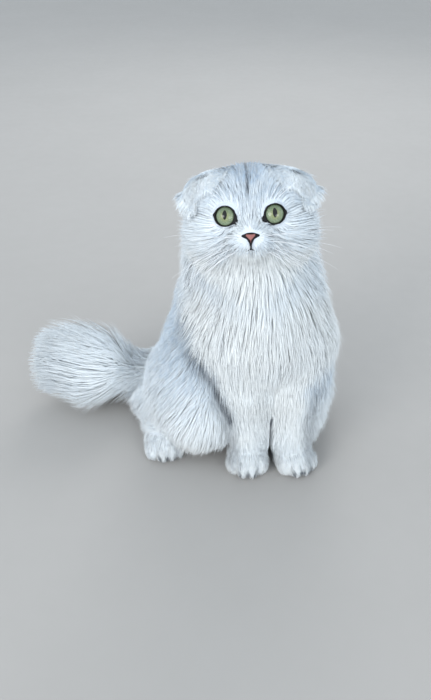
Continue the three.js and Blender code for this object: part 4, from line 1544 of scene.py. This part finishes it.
# Painted shadow of the lid on the top of the iris
IRIS_LID_SHADOW = (0.05, 0.08, 0.03)
IRIS_RING = (0.02, 0.03, 0.015)
PUPIL_BLACK = (0.003, 0.003, 0.003)
WHISKER_WHITE = ((0.9, 0.92, 0.95), (0.8, 0.82, 0.86))
FLOOR_GREY = ((0.4, 0.385, 0.37), (0.43, 0.415, 0.4))


def silver_colour_group():
    """White hair, warmer near the floor, that is silver-blue or dark towards its tip where it is marked or where
    shade is painted, and darker on bare skin as painted shade.
    """
    tree, nodes, given, result = shader_group(
        "silver_markings_and_shade",
        [
            ("Place", VECTOR, None),
            ("Silver", FLOAT, 0),
            ("Marking", FLOAT, 0),
            ("Hair", FLOAT, 0),
            ("Tint", FLOAT, 0.5),
            ("Silver strength", FLOAT, 1),
        ],
        [("Colour", COLOUR), ("Roughness", FLOAT)],
    )
    patches = nodes.noise(given["Place"], 28, 3)
    strands = nodes.noise(given["Place"], 260, 2, (1, 1, 0.25))
    white = nodes.mix(nodes.spread(patches, 0.35, 0.65), *WHITE_HAIR)
    white = nodes.mix(nodes.sum("MULTIPLY", given["Tint"], 0.28), white, SHADED_HAIR)
    # Painted shade where there is no hair: bare skin and the very roots of the tufts
    bare_skin_shade = nodes.spread(given["Hair"], 0, 0.02, 1, 0)
    white = nodes.mix(bare_skin_shade, white, BARE_SKIN_SHADE)
    height = nodes.add("ShaderNodeSeparateXYZ", Vector=given["Place"]).outputs["Z"]
    near_floor = nodes.spread(height, 0.03, 0.006, 0, 0.35)
    white = nodes.mix(near_floor, white, WARM_HAIR)
    tipped = nodes.spread(given["Hair"], 0.1, 0.9, 0.5, 1)
    varied = nodes.spread(strands, 0.35, 0.65, 0.6, 1.15)
    silver = nodes.sum("MULTIPLY", given["Silver"], tipped)
    silver = nodes.sum("MULTIPLY", silver, varied)
    silver = nodes.sum("MULTIPLY", silver, given["Silver strength"], clamp=True)
    uneven = nodes.spread(given["Tint"], 0, 1, 0.55, 1.15)
    dark = nodes.sum("MULTIPLY", given["Marking"], uneven, clamp=True)
    colour = nodes.mix(dark, nodes.mix(silver, white, SILVER_TIPS_AND_SHADE), DARK_TIPS_AND_SHADE)
    nodes.give(result, "Colour", colour)
    nodes.give(result, "Roughness", nodes.spread(strands, 0.3, 0.7, 0.5, 0.75))
    return tree


silver_group = silver_colour_group()


def coat_material(name, strength, grain_scale, bump):
    material, nodes, shader = new_material(name)
    place = nodes.object_place()
    marks = nodes.tree.nodes.new("ShaderNodeGroup")
    marks.node_tree = silver_group
    nodes.give(marks, "Place", place)
    for attribute in ("Silver", "Marking", "Hair", "Tint"):
        nodes.give(marks, attribute, nodes.attribute(attribute.lower()))
    marks.inputs["Silver strength"].default_value = strength
    nodes.give(shader, "Base Color", marks.outputs["Colour"])
    nodes.give(shader, "Roughness", marks.outputs["Roughness"])
    grain = nodes.noise(place, grain_scale, 3, (1, 1, 0.3))
    relief = nodes.add("ShaderNodeBump", Strength=bump, Distance=0.0004, Height=grain)
    nodes.give(shader, "Normal", relief.outputs["Normal"])
    shader.inputs["Specular IOR Level"].default_value = 0.3
    shader.inputs["Sheen Weight"].default_value = 0.25
    shader.inputs["Sheen Roughness"].default_value = 0.5
    return material


def pebble_group():
    """Fine pebbles of bare, moist skin."""
    tree, nodes, given, result = shader_group(
        "moist_pebbles",
        [("Place", VECTOR, None), ("Scale", FLOAT, 1400)],
        [("Height", FLOAT), ("Roughness", FLOAT)],
    )
    cells = nodes.add("ShaderNodeTexVoronoi", Vector=given["Place"], Scale=given["Scale"])
    from_middle = cells.outputs["Distance"]
    nodes.give(result, "Height", nodes.spread(from_middle, 0, 0.6, 1, 0))
    nodes.give(result, "Roughness", nodes.spread(from_middle, 0, 0.7, 0.4, 0.62))
    return tree


pebbles = pebble_group()


def leather_material(name, colour_from, scale, bump):
    material, nodes, shader = new_material(name)
    place = nodes.object_place()
    grain = nodes.tree.nodes.new("ShaderNodeGroup")
    grain.node_tree = pebbles
    nodes.give(grain, "Place", place)
    grain.inputs["Scale"].default_value = scale
    nodes.give(shader, "Base Color", colour_from(nodes, place))
    nodes.give(shader, "Roughness", grain.outputs["Roughness"])
    relief = nodes.add("ShaderNodeBump", Strength=bump, Distance=0.0002, Height=grain.outputs["Height"])
    nodes.give(shader, "Normal", relief.outputs["Normal"])
    shader.inputs["Specular IOR Level"].default_value = 0.2
    return material


def black_skin(nodes, place):
    return nodes.mix(nodes.noise(place, 500, 2), *BLACK_LEATHER)


def pink_and_black(nodes, place):
    pink = nodes.mix(nodes.noise(place, 420, 3), *PINK_LEATHER)
    return nodes.mix(nodes.attribute("pink"), black_skin(nodes, place), pink)


def iris_material():
    """Radial fibres between a slit pupil and a dark outer ring, under a wet surface."""
    material, nodes, shader = new_material("green_iris")
    uv = nodes.tree.nodes.new("ShaderNodeUVMap")
    uv.uv_map = "iris_place"
    offset, scale = (-IRIS_MAP / 2, -IRIS_MAP / 2, 0), (IRIS_MAP, IRIS_MAP, 1)
    middle = nodes.add("ShaderNodeMapping", Vector=uv.outputs[0], Location=offset, Scale=scale)
    place = nodes.add("ShaderNodeSeparateXYZ", Vector=middle.outputs[0])
    x, y = place.outputs["X"], place.outputs["Y"]
    far = nodes.sum("SQRT", nodes.sum("ADD", nodes.sum("MULTIPLY", x, x), nodes.sum("MULTIPLY", y, y)))
    safe = nodes.sum("MAXIMUM", far, 0.4)
    ray = nodes.add("ShaderNodeCombineXYZ", X=nodes.sum("DIVIDE", x, safe), Y=nodes.sum("DIVIDE", y, safe))
    nodes.give(ray, "Z", nodes.sum("MULTIPLY", far, 0.06))
    fibres = nodes.noise(ray.outputs[0], 16, 4)
    flecks = nodes.noise(middle.outputs[0], 0.9, 3)
    inner = nodes.mix(nodes.spread(fibres, 0.35, 0.65), *INNER_IRIS)
    outer = nodes.mix(nodes.spread(fibres, 0.35, 0.65), *OUTER_IRIS)
    colour = nodes.mix(nodes.spread(far, 2.2, 6.2), inner, outer)
    colour = nodes.mix(nodes.spread(flecks, 0.5, 0.75, 0, 0.35), colour, IRIS_FLECKS)
    # Painted shadow of the lid over the top of the iris
    colour = nodes.mix(nodes.spread(y, 1.5, 8, 0, 0.7), colour, IRIS_LID_SHADOW)
    colour = nodes.mix(nodes.spread(far, IRIS_RADIUS - 1.2, IRIS_RADIUS + 0.6), colour, IRIS_RING)
    slit = nodes.sum("DIVIDE", nodes.sum("ABSOLUTE", x), PUPIL_WIDTH / 2)
    tall = nodes.sum("DIVIDE", nodes.sum("SUBTRACT", y, PUPIL_RAISED), PUPIL_HEIGHT / 2)
    slit = nodes.sum("ADD", nodes.sum("POWER", slit, 1.4), nodes.sum("MULTIPLY", tall, tall))
    colour = nodes.mix(nodes.spread(slit, 1.15, 0.9), colour, PUPIL_BLACK)
    nodes.give(shader, "Base Color", colour)
    nodes.give(shader, "Roughness", nodes.spread(fibres, 0.3, 0.7, 0.12, 0.22))
    relief = nodes.add("ShaderNodeBump", Strength=0.12, Distance=0.0003, Height=fibres)
    nodes.give(shader, "Normal", relief.outputs["Normal"])
    shader.inputs["Coat Weight"].default_value = 1
    shader.inputs["Coat Roughness"].default_value = 0.02
    shader.inputs["Coat IOR"].default_value = 1.38
    shader.inputs["Specular IOR Level"].default_value = 0.2
    return material


def whisker_material():
    material, nodes, shader = new_material("white_whisker")
    place = nodes.object_place()
    nodes.give(shader, "Base Color", nodes.mix(nodes.noise(place, 90, 2), *WHISKER_WHITE))
    nodes.give(shader, "Roughness", nodes.spread(nodes.noise(place, 300, 1), 0.3, 0.7, 0.25, 0.4))
    return material


def floor_material():
    material, nodes, shader = new_material("pale_floor")
    place = nodes.object_place()
    nodes.give(shader, "Base Color", nodes.mix(nodes.noise(place, 6, 4), *FLOOR_GREY))
    nodes.give(shader, "Roughness", nodes.spread(nodes.noise(place, 40, 3), 0.3, 0.7, 0.75, 0.9))
    return material


coat_finish = coat_material("silver_coat", 1.0, 1500, 0.25)
skin_finish = coat_material("skin_under_coat", 0.8, 700, 0.5)
black_finish = leather_material("black_rim_skin", black_skin, 1600, 0.3)
nose_finish = leather_material("nose_leather", pink_and_black, 1500, 0.6)
iris_finish = iris_material()

# Dress the body
whiskers = make_whiskers(whisker_material())
dressed = [(skin, "coat", skin_finish)]
dressed += [(nose, "nose_leather", nose_finish), (mouth, "nose_leather", black_finish)]
dressed += [(piece, "coat", coat_finish) for piece in coat_pieces]
eyes = {}
for side, word in SIDE_WORDS:
    eyes[word] = eyeball(side, f"eyeball_{word}")
    dressed.append((eyes[word], "eye", iris_finish))
    dressed.append((eye_rim(side, f"eye_rim_{word}"), "nose_leather", black_finish))
for piece, slot, finish in dressed:
    piece.data.materials.append(finish)
    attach(piece, "root")
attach(whiskers, "root")
flesh = [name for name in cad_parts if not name.startswith(("eye", "nose"))]
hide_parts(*flesh)
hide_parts("nose")
for word, ball in eyes.items():
    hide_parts(f"eye_{word}")

# Floor, lights and camera
bpy.ops.mesh.primitive_plane_add(size=30)
floor = bpy.context.object
floor.name = "floor"
floor.data.materials.append(floor_material())


def area_light(name, place, aim, size, power, colour):
    """A round, soft lamp; places are in metres from the middle of the part's floor."""
    light = bpy.data.lights.new(name, "AREA")
    light.shape = "DISK"
    light.size = size
    light.energy = power
    light.color = colour
    lamp = bpy.data.objects.new(name, light)
    lamp.location = place
    lamp.rotation_euler = (Vector(aim) - Vector(place)).to_track_quat("-Z", "Y").to_euler()
    bpy.context.scene.collection.objects.link(lamp)


area_light("key", (-2.1, -2.5, 1.25), (0, 0, 0.15), 2.0, 63, (1, 1, 0.99))
area_light("fill", (1.9, -2.7, 0.3), (0, 0, 0.15), 2.2, 50, (0.92, 0.97, 1))
area_light("rim", (0.3, 1.5, 1.4), (0, 0, 0.2), 1.0, 9, (1, 1, 1))
world = bpy.data.worlds.new("studio")
world.use_nodes = True
world.node_tree.nodes["Background"].inputs["Color"].default_value = (0.84, 0.925, 1, 1)
world.node_tree.nodes["Background"].inputs["Strength"].default_value = 1.03
bpy.context.scene.world = world
bpy.context.scene.view_settings.view_transform = "Standard"

camera = bpy.data.cameras.new("camera")
camera.lens = CAMERA_LENS
camera.sensor_width = CAMERA_SENSOR
view = bpy.data.objects.new("camera", camera)
view.location = to_part(CAMERA_PLACE)
view.rotation_euler = (math.radians(90 - CAMERA_PITCH), 0, 0)
bpy.context.scene.collection.objects.link(view)
bpy.context.scene.camera = view
